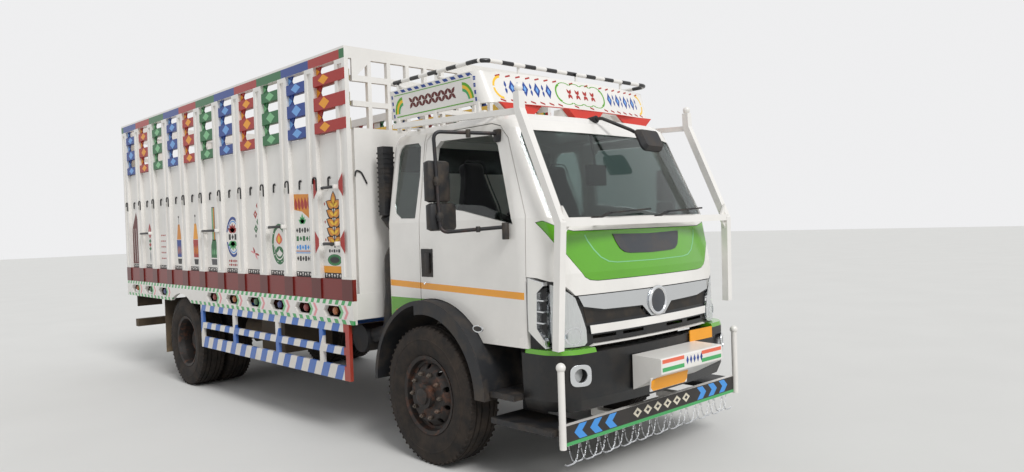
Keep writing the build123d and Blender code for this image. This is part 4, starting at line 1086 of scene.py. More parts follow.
@dataclass
class Coachwork:
    """The finishes of all the solids, node by node."""

    stripe_climb: float = 0.0288
    stripe_up: Span = (1.383, 1.432)
    fender_top: float = 1.237
    first_post_middle: float = BODY_FRONT_Y + POST_WIDTH / 2
    # half width, furthest point ahead, and heights of the painted shade on the inside faces of the cab, from the floor
    # up
    dark_inside: tuple[tuple[float, float, Span], ...] = (
        (0.97, -3.32, (1.305, 1.83)), (0.935, -3.26, (1.83, 2.1)), (0.905, -3.2, (2.1, 2.3)),
        (0.885, -3.14, (2.3, 2.47)),
    )

    def cab_zones(self) -> tuple[Zone, ...]:
        """The orange waist stripe, the green rear corner and the painted shade on the cab's inside faces."""
        return (
            Zone((Hue.ORANGE,), across=(1.0, 1.1), along=(-3.53, -1.93), up=self.stripe_up, climb=self.stripe_climb),
            Zone((Hue.GREEN,), across=(0.85, 1.1), along=(-2.6, -1.8), up=(0.9, self.fender_top)),
            # painted shade: the cab's inside faces are painted near black for the shade inside it
            *(Zone((Hue.LINING,), across=(-1, half), along=(ahead, -1.97), up=up) for half, ahead, up in self.dark_inside),
        )

    def wall_zones(self) -> tuple[Zone, ...]:
        """The red skirt band, its darker posts and the coloured lengths of the top rail."""
        return (
            Zone((Hue.BAND_RED,), across=(1.179, 1.3), up=(1.19, SKIRT_TOP_Z + 0.0005)),
            Zone((Hue.DARK_RED,), across=(1.2085, 1.3), up=(1.19, SKIRT_TOP_Z)),
            Zone(BAY_HUES, across=(1.2195, 1.3), up=(TOP_RAIL_Z, 3.287), start=self.first_post_middle),
        )

    def guard_zones(self) -> tuple[Zone, ...]:
        """Slanted blue and white stripes on the side guards, with red front ends."""
        stripes = (Hue.GUARD_BLUE, Hue.WHITE)
        return (
            Zone(stripes, along=(-1.70, 1.7), up=(0.4, 1.1), pitch=0.12, lean=0.5),
            Zone((Hue.RED,), along=(-1.75, -1.53)),
        )

    def crown_zones(self) -> tuple[Zone, ...]:
        """Red lamps with orange lower edges under the crown's front."""
        return (
            Zone((Hue.SIGNAL_RED,), along=(-3.42, -3.17), up=(2.58, 2.668)),
            Zone((Hue.ORANGE,), along=(-3.42, -3.17), up=(2.58, 2.598)),
        )

    def rack_zones(self) -> tuple[Zone, ...]:
        """Black and white lengths along the rails of the roof rack."""
        rings = (Hue.BLACK, Hue.WHITE)
        return (
            Zone(rings, across=(0.94, 1.0), up=(2.94, 3.0), pitch=0.115),
            Zone(rings, along=(-3.16, -3.1), up=(2.94, 3.0), pitch=0.115, stripes_along=False),
        )

    def rail_zones(self) -> tuple[Zone, ...]:
        """Slanted green and white checks along both edges of the edge rail."""
        checks = (Hue.LEAF_GREEN, Hue.WHITE)
        return (
            Zone(checks, across=(1.2, 1.3), up=(1.158, 1.2), pitch=0.052, lean=0.6),
            Zone(checks, across=(1.2, 1.3), up=(0.99, 1.036), pitch=0.062, lean=-0.6),
        )

    def finishes(self) -> dict:
        """The finish of each group of nodes.

        Returns:
            The finish by the names of its nodes.
        """
        slats = (Zone(BAY_HUES, start=self.first_post_middle), Zone((Hue.YELLOW,), across=(1.14, 1.1515)))
        deck_edge = (Zone((Hue.DARK_RED,), up=(1.1, 1.3)),)
        black_frame = Enamel("Black chassis enamel", Hue.BLACK, roughness=0.5, dust=0.85, coat=0.0)
        white_body = Enamel("White coach enamel on sheet steel", Hue.WHITE, self.wall_zones(), dust=0.2, coat=0.05)
        white_bars = Enamel("White enamel on tube", Hue.WHITE, dust=0.2)
        white_cab = Enamel("White baked cab enamel", Hue.WHITE, self.cab_zones(), roughness=0.2, coat=0.6)
        green = Enamel("Green baked cab enamel", Hue.GREEN, roughness=0.2, coat=0.6, dust=0.15)
        black = Moulding("Black grained polypropylene")
        return {
            ("chassis_rails", "crossmembers", "tanks_and_boxes", "rear_underrun"): black_frame,
            ("leaf_springs",): BareMetal("Oily spring steel", "#2B2A2A", 0.6, 0.6, rust=0.7),
            ("front_axle", "rear_axle", "knuckle_right", "knuckle_left", "tie_rod", "propeller_shaft",
             "engine_block"): BareMetal("Painted cast iron", "#2E2D2C", 0.65, 0.2, rust=0.35),
            ("cab_shell", "door_right", "door_left"): white_cab,
            ("front_panel", "bumper_corners"): green,
            ("cab_glass",): Pane("Tinted laminated glass", "#9AABA8"),
            ("door_glass_right", "door_glass_left"): Pane("Tinted toughened door glass", "#7C8A88"),
            ("bumper", "grille"): Moulding("Satin black bumper plastic", "#121315", 0.3, dust=0.1),
            ("wheel_arches", "entry_steps", "mirror_right", "mirror_left", "kerb_mirror",
             "wipers", "air_intake"): black,
            ("grille_trim",): BareMetal("Bright chrome on plastic", "#DADCDE", 0.07),
            ("front_lamps",): Pane("Clear polycarbonate lamp lens", "#F4F6F6", 0.06, 1.58, 0.5, flute_mm=16),
            ("bumper_box", "lower_bar", "crash_guard", "front_wall", "rear_frame", "tailgate", "gate_right",
             "gate_left"): white_bars,
            ("crown",): Enamel("White crown enamel", Hue.WHITE, self.crown_zones(), dust=0.1),
            ("roof_rack",): Enamel("Rack enamel in black and white", Hue.WHITE, self.rack_zones(), dust=0.1),
            ("chain_fringe",): BareMetal("Galvanised chain", "#A9ABAD", 0.35),
            ("dashboard", "steering_wheel"): Moulding("Soft-grained cab plastic", "#202125", 0.6),
            ("seats",): SeatCloth(),
            ("load_deck",): Enamel("Dark red deck primer", Hue.DARK_RED, deck_edge, roughness=0.6, dust=0.9),
            ("under_rails",): Enamel("Edge rail enamel with check borders", Hue.WHITE, self.rail_zones(), dust=0.5),
            ("side_wall_right", "side_wall_left"): white_body,
            ("side_slats",): Enamel("Slat enamel in bay colours", Hue.RED, slats, dust=0.1),
            ("side_guards",): Enamel("Guard enamel in slanted stripes", Hue.GUARD_BLUE, self.guard_zones(), dust=0.5),
            ("rim_front_right", "rim_front_left", "rims_rear_right", "rims_rear_left"):
                BareMetal("Rusty black wheel enamel", "#2A2624", 0.55, 0.3, rust=0.75),
            ("tyre_front_right", "tyre_front_left", "tyres_rear_right", "tyres_rear_left"): TyreRubber(),
        }

    def build(self) -> None:
        """Gives every solid its finish."""
        for nodes, finish in self.finishes().items():
            material = finish.make()
            for name in nodes:
                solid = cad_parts[name]
                for held in solid.material_slots:
                    held.material = material
            log.info("%s on %s", material.name, ", ".join(nodes))


def bay_span(bay: int) -> Span:
    """The clear room along the truck between two neighbouring posts of the load body."""
    start = BODY_FRONT_Y + POST_WIDTH + bay * POST_PITCH
    return start, start + BAY_WIDTH


class Spot(Enum):
    """Where along a bay a shape goes."""

    FRONT = 0
    MIDDLE = 1
    REAR = 2


@dataclass
class SlatOrnament:
    """Painted diamonds on the slats, and the cut shapes that fill the gaps beside each post."""

    lights: tuple[Hue, ...] = (Hue.ORANGE, Hue.PALE_BLUE, Hue.PALE_GREEN)
    rows: tuple[Span, ...] = ((2.63, 2.722), (2.826, 2.938), (3.036, 3.128))
    gaps: tuple[Span, ...] = ((2.722, 2.826), (2.938, 3.036), (3.128, 3.209))
    diamond_half: float = 0.088
    filler_length: float = 0.085
    filler_notch: float = 0.03
    wedge_length: float = 0.045
    inset: float = 0.005
    facing_x: float = BODY_HALF - 0.007
    corner_x: float = BODY_HALF + 0.005

    def places(self, turn: int, z: float, spot: Spot, x: float) -> list[Matrix]:
        """The places of one shape in every third bay, on both sides of the truck.

        Args:
            turn: the first of those bays.
            z: the shape's height.
            spot: where along the bay it goes.
            x: its distance from the truck's middle.

        Returns:
            Its places, the right-hand side's first.
        """
        spans = [bay_span(bay) for bay in BAYS[turn::len(self.lights)]]
        along = [(front, (front + rear) / 2, rear)[spot.value] for front, rear in spans]
        return [on_wall(side, x, y, z) for side in SIDES.values() for y in along]

    def facings(self) -> Object:
        """Boards on the slats that bring each painted face level with the posts, past the corner in front.

        Returns:
            The boards.
        """
        boards = []
        for bay in BAYS:
            start, end = bay_span(bay)
            outer = self.facing_x if bay else self.corner_x
            front = start if bay else BODY_FRONT_Y + 1 * MM
            for side in SIDES.values():
                for row in self.rows:
                    board = side_block(side, (PANEL_X - 1 * MM, outer), (front, end), row)
                    boards.append(coat(board, sign_paint(BAY_HUES[bay % len(BAY_HUES)])))
        return join(boards)

    def build(self) -> None:
        """Fits the boards, paints the diamonds and fits the shapes in the gaps."""
        fit(self.facings(), "slat_facings")
        diamonds, fillers = [], []
        x = PANEL_X - self.inset
        for turn, light in enumerate(self.lights):
            ground = sign_paint(BAY_HUES[turn])
            for low, high in self.rows:
                shape = draw(diamond(0, 0, self.diamond_half, (high - low) * 0.46), 0.8 * MM)
                places = self.places(turn, (low + high) / 2, Spot.MIDDLE, self.facing_x)
                if not turn:
                    for index in (0, len(places) // 2):
                        places[index][0][3] += (self.corner_x - self.facing_x) * places[index][0][2]
                diamonds.append(copies(coat(shape, sign_paint(light)), places))
            for low, high in self.gaps:
                height = high - low
                back = [(0, 0), (0, height), (-self.filler_length, height),
                        (self.filler_notch - self.filler_length, height / 2), (-self.filler_length, 0)]
                tip = [(0, 0.1 * height), (-0.72 * self.filler_length, height / 2), (0, 0.9 * height)]
                wedge = [(0, 0), (self.wedge_length, height / 2), (0, height)]
                for outline, thickness, paint, spot in (
                    (back, 12 * MM, ground, Spot.REAR), (tip, 13 * MM, sign_paint(light), Spot.REAR),
                    (wedge, 12 * MM, ground, Spot.FRONT),
                ):
                    fillers.append(copies(coat(draw(outline, thickness), paint), self.places(turn, low, spot, x)))
        fit(join(diamonds), "slat_diamonds")
        fit(join(fillers), "slat_gap_shapes")


@dataclass
class WallFittings:
    """Rope hooks, climbing rungs and the toothed strip over the skirt of each side wall."""

    hook_radius: float = 0.007
    hook_top: float = 2.255
    hook_leg: float = 2.14
    hook_width: float = 0.062
    corner_hook_route: tuple[Span, ...] = ((-1.158, 2.23), (-1.152, 2.282), (-1.1, 2.272), (-1.045, 2.172))
    rung_radius: float = 0.013
    # bay, how far along it the rung's middle is, height and half length
    rungs: tuple = ((0, 0.40, 2.157, 0.115), (0, 0.40, 1.677, 0.115), (2, 0.30, 1.84, 0.15), (5, 0.42, 1.83, 0.2),
                    (9, 0.5, 1.83, 0.18))
    teeth: int = 7
    strip: Span = (1.376, 1.424)

    def corner_hook(self) -> Object:
        """Bends the slanted hook at the front wall's right-hand edge.

        Returns:
            The hook.
        """
        y = BODY_FRONT_Y - self.hook_radius
        route = [(x, y, z) for x, z in self.corner_hook_route]
        return tube(route, self.hook_radius, self.hook_width * 0.35, 2)

    def hooks(self, side: int) -> Object:
        """Bends the black rope hooks of one wall: a wide one over each post and a small one in each bay.

        Args:
            side: -1 for the right-hand wall, 1 for the left-hand one.

        Returns:
            All its hooks, as one object.
        """
        r, top, width = self.hook_radius, self.hook_top, self.hook_width
        wide = tube([(0, self.hook_leg, r), (0, top, r), (width, top, r), (width, top - 0.055, r)], r, width * 0.45, 2)
        small = tube([(0, top - 0.085, r), (0, top - 0.012, r), (-0.03, top, r), (-0.03, top - 0.02, r)], r, 0.012, 2)
        ends = [bay_span(bay)[1] for bay in BAYS]
        over_posts = copies(wide, [on_wall(side, BODY_HALF, end + 0.004) for end in ends])
        in_bays = copies(small, [on_wall(side, PANEL_X, end - 0.13) for end in ends])
        return join([over_posts, in_bays])

    def ladder(self, side: int) -> Object:
        """Makes the climbing rungs of one wall, each between two white brackets.

        Args:
            side: -1 for the right-hand wall, 1 for the left-hand one.

        Returns:
            Its rungs, as one object.
        """
        parts = []
        stand = PANEL_X + 0.058
        for bay, share, z, half in self.rungs:
            start, end = bay_span(bay)
            middle = start + share * (end - start)
            bar = rod((side * stand, middle - half, z), (side * stand, middle + half, z), self.rung_radius, 14,
                      2 * MM)
            parts.append(coat(bar, sign_paint(Hue.BLACK)))
            for tip in (middle - half, middle + half):
                lug = side_block(side, (PANEL_X - 2 * MM, stand + self.rung_radius + 4 * MM),
                                 (tip - 0.012, tip + 0.012), (z - 0.018, z + 0.018), 3 * MM)
                parts.append(coat(lug, sign_paint(Hue.WHITE)))
        return join(parts)

    def toothed_strip(self) -> Object:
        """Paints a black strip with white teeth over the skirt in every bay.

        Returns:
            The strip, as one object.
        """
        low, high = self.strip
        strip = Painting(Matrix())
        strip.add(Hue.BLACK, oblong((0.006, BAY_WIDTH - 0.006), (low, high)))
        step = (BAY_WIDTH - 0.03) / self.teeth
        for tooth in range(self.teeth):
            u = 0.015 + (tooth + 0.5) * step
            if tooth % 2:
                strip.add(Hue.WHITE, diamond(u, (low + high) / 2, step * 0.3, 0.015), 1)
            else:
                strip.add(Hue.WHITE, oblong((u - step * 0.3, u + step * 0.3), (low + 0.03, low + 0.04)), 1)
                strip.add(Hue.WHITE, oblong((u - step * 0.1, u + step * 0.1), (low + 0.009, low + 0.03)), 1)
        places = [on_wall(side, PANEL_X, bay_span(bay)[0]) for side in SIDES.values() for bay in BAYS]
        return copies(join(strip.shapes), places)

    def build(self) -> None:
        """Fits hooks, rungs and strips to both walls."""
        for name, side in SIDES.items():
            bent = [self.hooks(side)] + ([self.corner_hook()] if side < 0 else [])
            fit(join(bent), f"rope_hooks_{name}", material=sign_paint(Hue.BLACK), smooth=50)
            fit(self.ladder(side), f"climbing_rungs_{name}", smooth=40)
        fit(self.toothed_strip(), "toothed_strips")


@dataclass
class WallFigures:
    """The painted figures of the right-hand wall, one design to a bay, in place of its signs and lettering."""

    side: int = -1
    middle: float = 0.165
    # how much each bay's figure is widened, from the front
    widths: tuple[float, ...] = (1.08, 1.08, 1.5, 1.6, 1.35, 1.55, 1.4, 1.4, 1.2, 1.3, 1.1)

    def canvas(self, bay: int) -> Painting:
        """Starts one bay's painting: u from the bay's front edge and widened about the middle, v the height.

        Args:
            bay: the number of the bay, from the front.

        Returns:
            The painting.
        """
        wide = self.widths[bay]
        widened = Matrix.Translation((self.middle * (1 - wide), 0, 0)) @ Matrix.Diagonal((wide, 1, 1, 1))
        return Painting(on_wall(self.side, PANEL_X, bay_span(bay)[0]) @ widened)

    def word_row(self, art: Painting, hue: Hue, u: Span, v: Span, count: int) -> None:
        """A row of small blocks and diamonds, of the height and colour of a line of sign writing.

        Args:
            art: the painting that it goes in.
            hue: its colour.
            u: its span along the wall.
            v: its span of height.
            count: how many blocks and diamonds it has.
        """
        step = (u[1] - u[0]) / count
        for k in range(count):
            middle = u[0] + (k + 0.5) * step
            if k % 2:
                art.add(hue, diamond(middle, sum(v) / 2, step * 0.42, (v[1] - v[0]) / 2))
            else:
                art.add(hue, oblong((middle - step * 0.36, middle + step * 0.36), v))

    def barley(self, art: Painting) -> None:
        """A tall ochre ear of barley with black rims, over a green medallion and a yellow band.

        Args:
            art: the bay's painting.
        """
        u = BAY_WIDTH * 0.45
        art.add(Hue.ORANGE, oblong((0, BAY_WIDTH), (1.424, 1.482)))
        art.add(Hue.BLACK, oblong((u - 0.008, u + 0.008), (1.64, 2.02)))
        grains = [(90, 2.0, 0.13)] + [(turn, 1.67 + 0.078 * tier, 0.135) for tier in range(5) for turn in (28, 152)]
        for turn, spring, length in grains:
            art.add(Hue.BLACK, petal(u, spring, length, 0.088, turn, 9))
            art.add(Hue.OCHRE, petal(u, spring + 0.006, length - 0.018, 0.066, turn, 9), 1)
            art.add(Hue.YELLOW, petal(u, spring + 0.012, length * 0.55, 0.026, turn, 9), 2)
        for z in (1.71, 1.866, 2.022):
            for way in (-1, 1):
                art.add(Hue.RED, diamond(u + way * 0.138, z, 0.011, 0.016))
        self.word_row(art, Hue.BLACK, (u - 0.08, u + 0.1), (1.6, 1.626), 5)
        art.add(Hue.DEEP_GREEN, circle(u + 0.01, 1.535, 0.108, 28, 0.46))
        art.add(Hue.LEAF_GREEN, arc_band(u + 0.01, 1.535, 0.086, 0.092, 0, 359, 0.46), 1)
        art.add(Hue.BLACK, circle(u + 0.01, 1.535, 0.07, 28, 0.36), 1)

    def poster(self, art: Painting) -> None:
        """An orange panel with a red scalloped ribbon, a green sprig and rows of small blocks.

        Args:
            art: the bay's painting.
        """
        full = (0.015, BAY_WIDTH - 0.02)
        art.add(Hue.OCHRE, [(full[0], 2.12), (full[1], 2.135), (full[1], 1.99), (0.2, 1.97), (full[0], 1.87)])
        for k in range(5):
            u = 0.07 + k * 0.056
            art.add(Hue.RED, petal(u, 1.985, 0.115, 0.05, 82, 7), 1)
        for turn in (30, 60, 90, 120, 150):
            art.add(Hue.LEAF_GREEN, petal(0.2, 1.86, 0.075 if turn != 90 else 0.095, 0.036, turn))
        for hue, low, count in ((Hue.BLACK, 1.778, 6), (Hue.DEEP_GREEN, 1.702, 5), (Hue.SKY_BLUE, 1.622, 6),
                                (Hue.BLACK, 1.520, 6)):
            self.word_row(art, hue, (0.045, BAY_WIDTH - 0.035), (low, low + 0.045), count)
        art.add(Hue.RED, oblong((0.04, BAY_WIDTH - 0.03), (1.606, 1.614)))
        art.add(Hue.SKY_BLUE, oblong((0.04, BAY_WIDTH - 0.03), (1.590, 1.598)))

    def medallion(self, art: Painting) -> None:
        """An upright green oval ring round an orange bud and a green leaf.

        Args:
            art: the bay's painting.
        """
        u, v = 0.16, 1.675
        art.add(Hue.DEEP_GREEN, circle(u, v, 0.1, 36, 1.95))
        art.add(Hue.WHITE, circle(u, v, 0.076, 36, 2.0), 1)
        art.add(Hue.DEEP_GREEN, arc_band(u, v, 0.06, 0.07, 190, 350, 2.0), 2)
        art.add(Hue.SAFFRON, petal(u, v - 0.005, 0.115, 0.085, 90), 2)
        art.add(Hue.YELLOW, petal(u, v + 0.01, 0.075, 0.04, 90), 3)
        for turn in (230, 310):
            art.add(Hue.DEEP_GREEN, petal(u, v - 0.02, 0.095, 0.036, turn), 2)
        for k in range(10):
            a = 2 * pi * k / 10
            art.add(Hue.WHITE, circle(u + 0.088 * cos(a), v + 0.174 * sin(a), 0.006, 8), 1)

    def chain(self, art: Painting) -> None:
        """A hanging chain of red and green diamonds over a red flourish.

        Args:
            art: the bay's painting.
        """
        u = 0.12
        for hue, du, v in ((Hue.RED, -0.012, 2.06), (Hue.RED, 0.028, 1.975), (Hue.DEEP_GREEN, -0.01, 1.90),
                           (Hue.DEEP_GREEN, 0.026, 1.83), (Hue.BLACK, 0.03, 1.76)):
            half = 0.012 if hue is Hue.BLACK else 0.026
            art.add(hue, diamond(u + du, v, half, half * 1.7))
            art.add(Hue.WHITE, diamond(u + du, v, half * 0.3, half * 0.6), 1)
        for turn, hue in ((20, Hue.PINK), (65, Hue.RED), (200, Hue.RED), (245, Hue.PINK)):
            art.add(hue, petal(u + 0.05, 1.585, 0.07, 0.02, turn))
        art.add(Hue.BLACK, petal(0.05, 1.455, 0.07, 0.03, 80))

    def roundel(self, art: Painting) -> None:
        """Blue arcs round a red fan above and a green fan below, with a row of blocks between.

        Args:
            art: the bay's painting.
        """
        u, v = 0.17, 1.755
        for turn in (0, 180):
            art.add(Hue.BLUE, arc_band(u, v, 0.108, 0.126, turn + 15, turn + 165, 1.7))
            art.add(Hue.SKY_BLUE, arc_band(u, v, 0.094, 0.101, turn + 25, turn + 155, 1.7))
        for turn in (30, 60, 90, 120, 150):
            art.add(Hue.RED, petal(u + 0.01, v + 0.045, 0.1, 0.046, turn))
            art.add(Hue.LEAF_GREEN, petal(u + 0.01, v - 0.045, 0.1, 0.046, -turn))
        self.word_row(art, Hue.BLACK, (u - 0.07, u + 0.09), (v - 0.03, v + 0.03), 3)
        self.word_row(art, Hue.RED, (u - 0.1, u + 0.1), (1.488, 1.514), 6)
        self.word_row(art, Hue.RED, (u - 0.1, u + 0.1), (1.448, 1.472), 6)

    def flask(self, art: Painting) -> None:
        """A green flask on a grey foot, with a tall brown stem.

        Args:
            art: the bay's painting.
        """
        u = 0.16
        art.add(Hue.BLACK, oblong((u - 0.022, u + 0.03), (1.72, 2.09)))
        art.add(Hue.OCHRE, oblong((u - 0.016, u + 0.002), (1.73, 2.08)), 1)
        art.add(Hue.PALE_GREEN, oblong((u + 0.006, u + 0.024), (1.73, 2.08)), 1)
        art.add(Hue.DEEP_GREEN, [(u - 0.06, 1.53), (u + 0.06, 1.53), (u + 0.056, 1.66), (u + 0.03, 1.74),
                                 (u - 0.024, 1.74), (u - 0.054, 1.66)])
        art.add(Hue.WHITE, oblong((u - 0.062, u + 0.062), (1.518, 1.53)))
        art.add(Hue.DARK_GREY, [(u - 0.04, 1.452), (u + 0.05, 1.452), (u + 0.06, 1.516), (u - 0.06, 1.516)])
        for k in range(3):
            art.add(Hue.PALE_GREEN, petal(u - 0.03 + 0.03 * k, 1.56, 0.07, 0.014, 90), 1)

    def tassel(self, art: Painting, body: Hue, tip: Hue) -> None:
        """A tall tassel: a knob, a bright cone, a coloured skirt, a white ring and a dark foot.

        Args:
            art: the painting that it goes in.
            body: the skirt's colour.
            tip: the cone's colour.
        """
        u = 0.17
        art.add(Hue.BLACK, circle(u, 2.01, 0.014, 12))
        art.add(Hue.BLACK, oblong((u - 0.003, u + 0.003), (1.9, 2.0)))
        art.add(tip, [(u - 0.052, 1.74), (u + 0.052, 1.74), (u + 0.02, 1.92), (u - 0.02, 1.92)])
        art.add(body, [(u - 0.05, 1.53), (u + 0.05, 1.53), (u + 0.056, 1.735), (u - 0.056, 1.735)])
        art.add(Hue.WHITE, oblong((u - 0.05, u + 0.05), (1.512, 1.528)))
        art.add(Hue.BLACK, [(u - 0.036, 1.448), (u + 0.036, 1.448), (u + 0.046, 1.51), (u - 0.046, 1.51)])
        for k in range(3):
            art.add(tip, petal(u - 0.03 + 0.03 * k, 1.56, 0.11, 0.012, 90), 1)

    def ladder_lines(self, art: Painting) -> None:
        """Five short rows of red dashes."""
        for k in range(5):
            self.word_row(art, Hue.RED, (0.07, 0.26), (1.50 + 0.072 * k, 1.518 + 0.072 * k), 7)

    def pendant(self, art: Painting) -> None:
        """A red bud over green diamonds and a grey tail.

        Args:
            art: the bay's painting.
        """
        u = 0.17
        art.add(Hue.RED, petal(u, 1.76, 0.2, 0.085, 90))
        art.add(Hue.PINK, petal(u, 1.78, 0.12, 0.035, 90), 1)
        for k, hue in enumerate((Hue.DEEP_GREEN, Hue.RED, Hue.DEEP_GREEN)):
            art.add(hue, diamond(u, 1.73 - 0.05 * k, 0.034, 0.028))
        art.add(Hue.GREY, petal(u, 1.6, 0.16, 0.03, 270))

    def banner(self, art: Painting) -> None:
        """A dark red leaf-shaped banner crossed by white and black lines.

        Args:
            art: the bay's painting.
        """
        width = BAY_WIDTH
        art.add(Hue.DARK_RED, [(0.03, 1.43), (width - 0.02, 1.43), (width - 0.03, 1.9), (width * 0.5, 2.12),
                               (0.05, 1.85)])
        for k in range(3):
            u = 0.09 + 0.08 * k
            art.add(Hue.WHITE, [(u, 1.45), (u + 0.01, 1.45), (u + 0.035, 1.9), (u + 0.025, 1.9)], 1)
            art.add(Hue.BLACK, [(u + 0.025, 1.45), (u + 0.03, 1.45), (u + 0.055, 1.88), (u + 0.05, 1.88)], 1)

    def arrows(self) -> Painting:
        """Red arrowheads on the posts beside the first bay, pointing at its rungs.

        Returns:
            The painting.
        """
        art = Painting(on_wall(self.side, BODY_HALF))
        start, end = bay_span(0)
        for z in (1.69, 2.17):
            for edge, way in ((start, 1), (end, -1)):
                art.add(Hue.RED, [(edge - way * 0.07, z - 0.1), (edge - way * 0.002, z - 0.03),
                                  (edge - way * 0.002, z + 0.03), (edge - way * 0.07, z + 0.1)])
        return art

    def build(self) -> None:
        """Paints every bay."""
        designs = (
            self.barley, self.poster, self.medallion, self.chain, self.roundel, self.flask,
            lambda art: self.tassel(art, Hue.RED, Hue.ORANGE), lambda art: self.tassel(art, Hue.BLUE, Hue.OCHRE),
            self.ladder_lines, self.pendant, self.banner,
        )
        for bay, design in enumerate(designs):
            art = self.canvas(bay)
            design(art)
            art.fit(f"wall_figure_{bay + 1:02d}")
        self.arrows().fit("post_arrows")


@dataclass
class EdgeRail:
    """Painted chevrons at the ends of the six-sided openings in the edge rail, and small lamps in them."""

    opening_half: float = 0.15
    centre_z: float = 1.098
    half_height: float = 0.058
    band: float = 0.04
    tip_reach: float = 0.042
    lead: float = 0.158
    wheel_room: float = 0.56
    lamp_profile: tuple[Span, ...] = (
        (0.0, 0.0), (0.034, 0.0), (0.034, 0.01), (0.03, 0.018), (0.016, 0.024), (0.0, 0.026),
    )
    tints: tuple[Hue, ...] = (Hue.WHITE, Hue.PINK, Hue.WHITE, Hue.PALE_GREEN)
    lamp_hues: tuple[str, ...] = ("#C56A1E", "#A3262A", "#27418F", "#2E7A4B")

    def bays(self) -> list[int]:
        """The bays that have an opening: all but those over the rear wheel."""
        return [bay for bay in BAYS if abs(sum(bay_span(bay)) / 2 - REAR_AXLE_Y) > self.wheel_room]

    def chevron(self, hue: Hue, u: float) -> Object:
        """One chevron that points to the front, with its tip at u.

        Args:
            hue: its colour.
            u: where its tip stands along the rail.

        Returns:
            The stripe.
        """
        h, shoulder = self.half_height, u + self.tip_reach
        corners = [(u, 0), (shoulder, h), (shoulder + self.band, h), (u + self.band, 0),
                   (shoulder + self.band, -h), (shoulder, -h)]
        return coat(draw(corners, 0.8 * MM), sign_paint(hue))

    def build(self) -> None:
        """Fits chevrons and lamps to both edge rails."""
        centres = [sum(bay_span(bay)) / 2 for bay in self.bays()]
        places = [on_wall(side, BODY_HALF, y, self.centre_z) for side in SIDES.values() for y in centres]
        chevrons = [
            copies(self.chevron(hue, k * self.band - self.opening_half - self.lead), places)
            for k, hue in enumerate(self.tints)
        ]
        fit(join(chevrons), "edge_rail_chevrons")
        for index, colour in enumerate(self.lamp_hues):
            lens = Pane(f"Coloured lamp lens {index + 1}", colour, 0.15, clear=0.35)
            lamp = turned(self.lamp_profile, 20, closed=False)
            places = [on_wall(side, PANEL_X + 1 * MM, y, self.centre_z)
                      for side in SIDES.values() for y in centres[index::len(self.lamp_hues)]]
            fit(copies(lamp, places), f"edge_rail_lamps_{index + 1}", material=lens.make(), smooth=50)


@dataclass
class Wheels:
    """Radial tyres with ribbed treads and lugged shoulders, and the nuts and caps of their rims."""

    # distance from the axle and from the tyre's middle, from one bead out to the tread's middle
    half_profile: tuple[Span, ...] = (
        (0.286, 0.104), (0.292, 0.116), (0.330, 0.137), (0.388, 0.1475), (0.418, 0.1465), (0.421, 0.149),
        (0.427, 0.149), (0.430, 0.1455), (0.470, 0.139), (0.494, 0.131), (0.510, 0.1235), (0.517, 0.108),
        (0.519, 0.088), (0.507, 0.085), (0.507, 0.077), (0.5205, 0.074), (0.522, 0.043), (0.508, 0.040),
        (0.508, 0.032), (0.522, 0.029),
    )
    steps: int = 96
    lugs: int = 60
    nut_circle: float = 0.167
    nut_count: int = 10
    nut_radius: float = 0.017
    front_disc: float = 0.132
    rear_disc: float = -0.152
    cap_profile: tuple[Span, ...] = (
        (0.0, 0.175), (0.062, 0.175), (0.062, 0.187), (0.05, 0.197), (0.03, 0.2), (0.0, 0.2),
    )
    rubber: TyreRubber = TyreRubber()
    steel: BareMetal = BareMetal("Worn wheel nut steel", "#6A625A", 0.45, 0.8, rust=0.8)
    hub_cap_paint: BareMetal = BareMetal("Oily hub iron", "#33302E", 0.5, 0.5, rust=0.5)

    def tyre(self) -> Object:
        """One tyre about its own axle line, z towards its outer wall.

        Returns:
            The tyre, its axis along Z.
        """
        cover = turned([(r, -z) for r, z in self.half_profile] + list(self.half_profile)[::-1], self.steps)
        lug = block((0.500, -0.0085, 0.098), (0.5205, 0.0085, 0.1285), 2 * MM)
        flip = Matrix.Diagonal((1, 1, -1, 1))
        inner = [flip @ turn for turn in ring_of(self.lugs, pi / self.lugs)]
        lugs = copies(lug, ring_of(self.lugs) + inner)
        return join([cover, lugs])

    def nuts(self, height: float) -> Object:
        """A ring of wheel nuts that stand on a disc at the given height along the axle.

        Args:
            height: how far the wheel disc stands from the wheel's middle.

        Returns:
            Nuts and studs, as one object.
        """
        nut = drum(self.nut_radius, 0.024, 6, 2 * MM)
        stud = settle(drum(self.nut_radius * 0.5, 0.036, 10, 1 * MM), Matrix())
        out = Matrix.Translation((self.nut_circle, 0, height - 1 * MM))
        return copies(join([nut, stud]), [turn @ out for turn in ring_of(self.nut_count)])

    def build(self) -> None:
        """Fits tyres, nuts and hub caps."""
        rubber, steel, iron = self.rubber.make(), self.steel.make(), self.hub_cap_paint.make()
        for name, side in SIDES.items():
            front = on_wall(side, FRONT_WHEEL_X, FRONT_AXLE_Y, AXLE_Z)
            outer = on_wall(side, REAR_OUTER_X, REAR_AXLE_Y, AXLE_Z)
            inner = on_wall(side, REAR_OUTER_X - TWIN_SPACING, REAR_AXLE_Y, AXLE_Z)
            for where, spots, disc in (("front", [front], self.front_disc), ("rear", [outer, inner], self.rear_disc)):
                wheel = f"wheel_{where}_{name}"
                word = "tyre" if where == "front" else "tyres"
                tyres = fit(copies(self.tyre(), spots), f"tread_{word}_{where}_{name}", wheel, rubber,
                            35)
                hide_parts(f"{word}_{where}_{name}")
                fit(copies(self.nuts(disc), spots[:1]), f"wheel_nuts_{where}_{name}", wheel, steel, 30)
            fit(turned(self.cap_profile, 32, front), f"hub_cap_front_{name}",
                f"wheel_front_{name}", iron, 40)


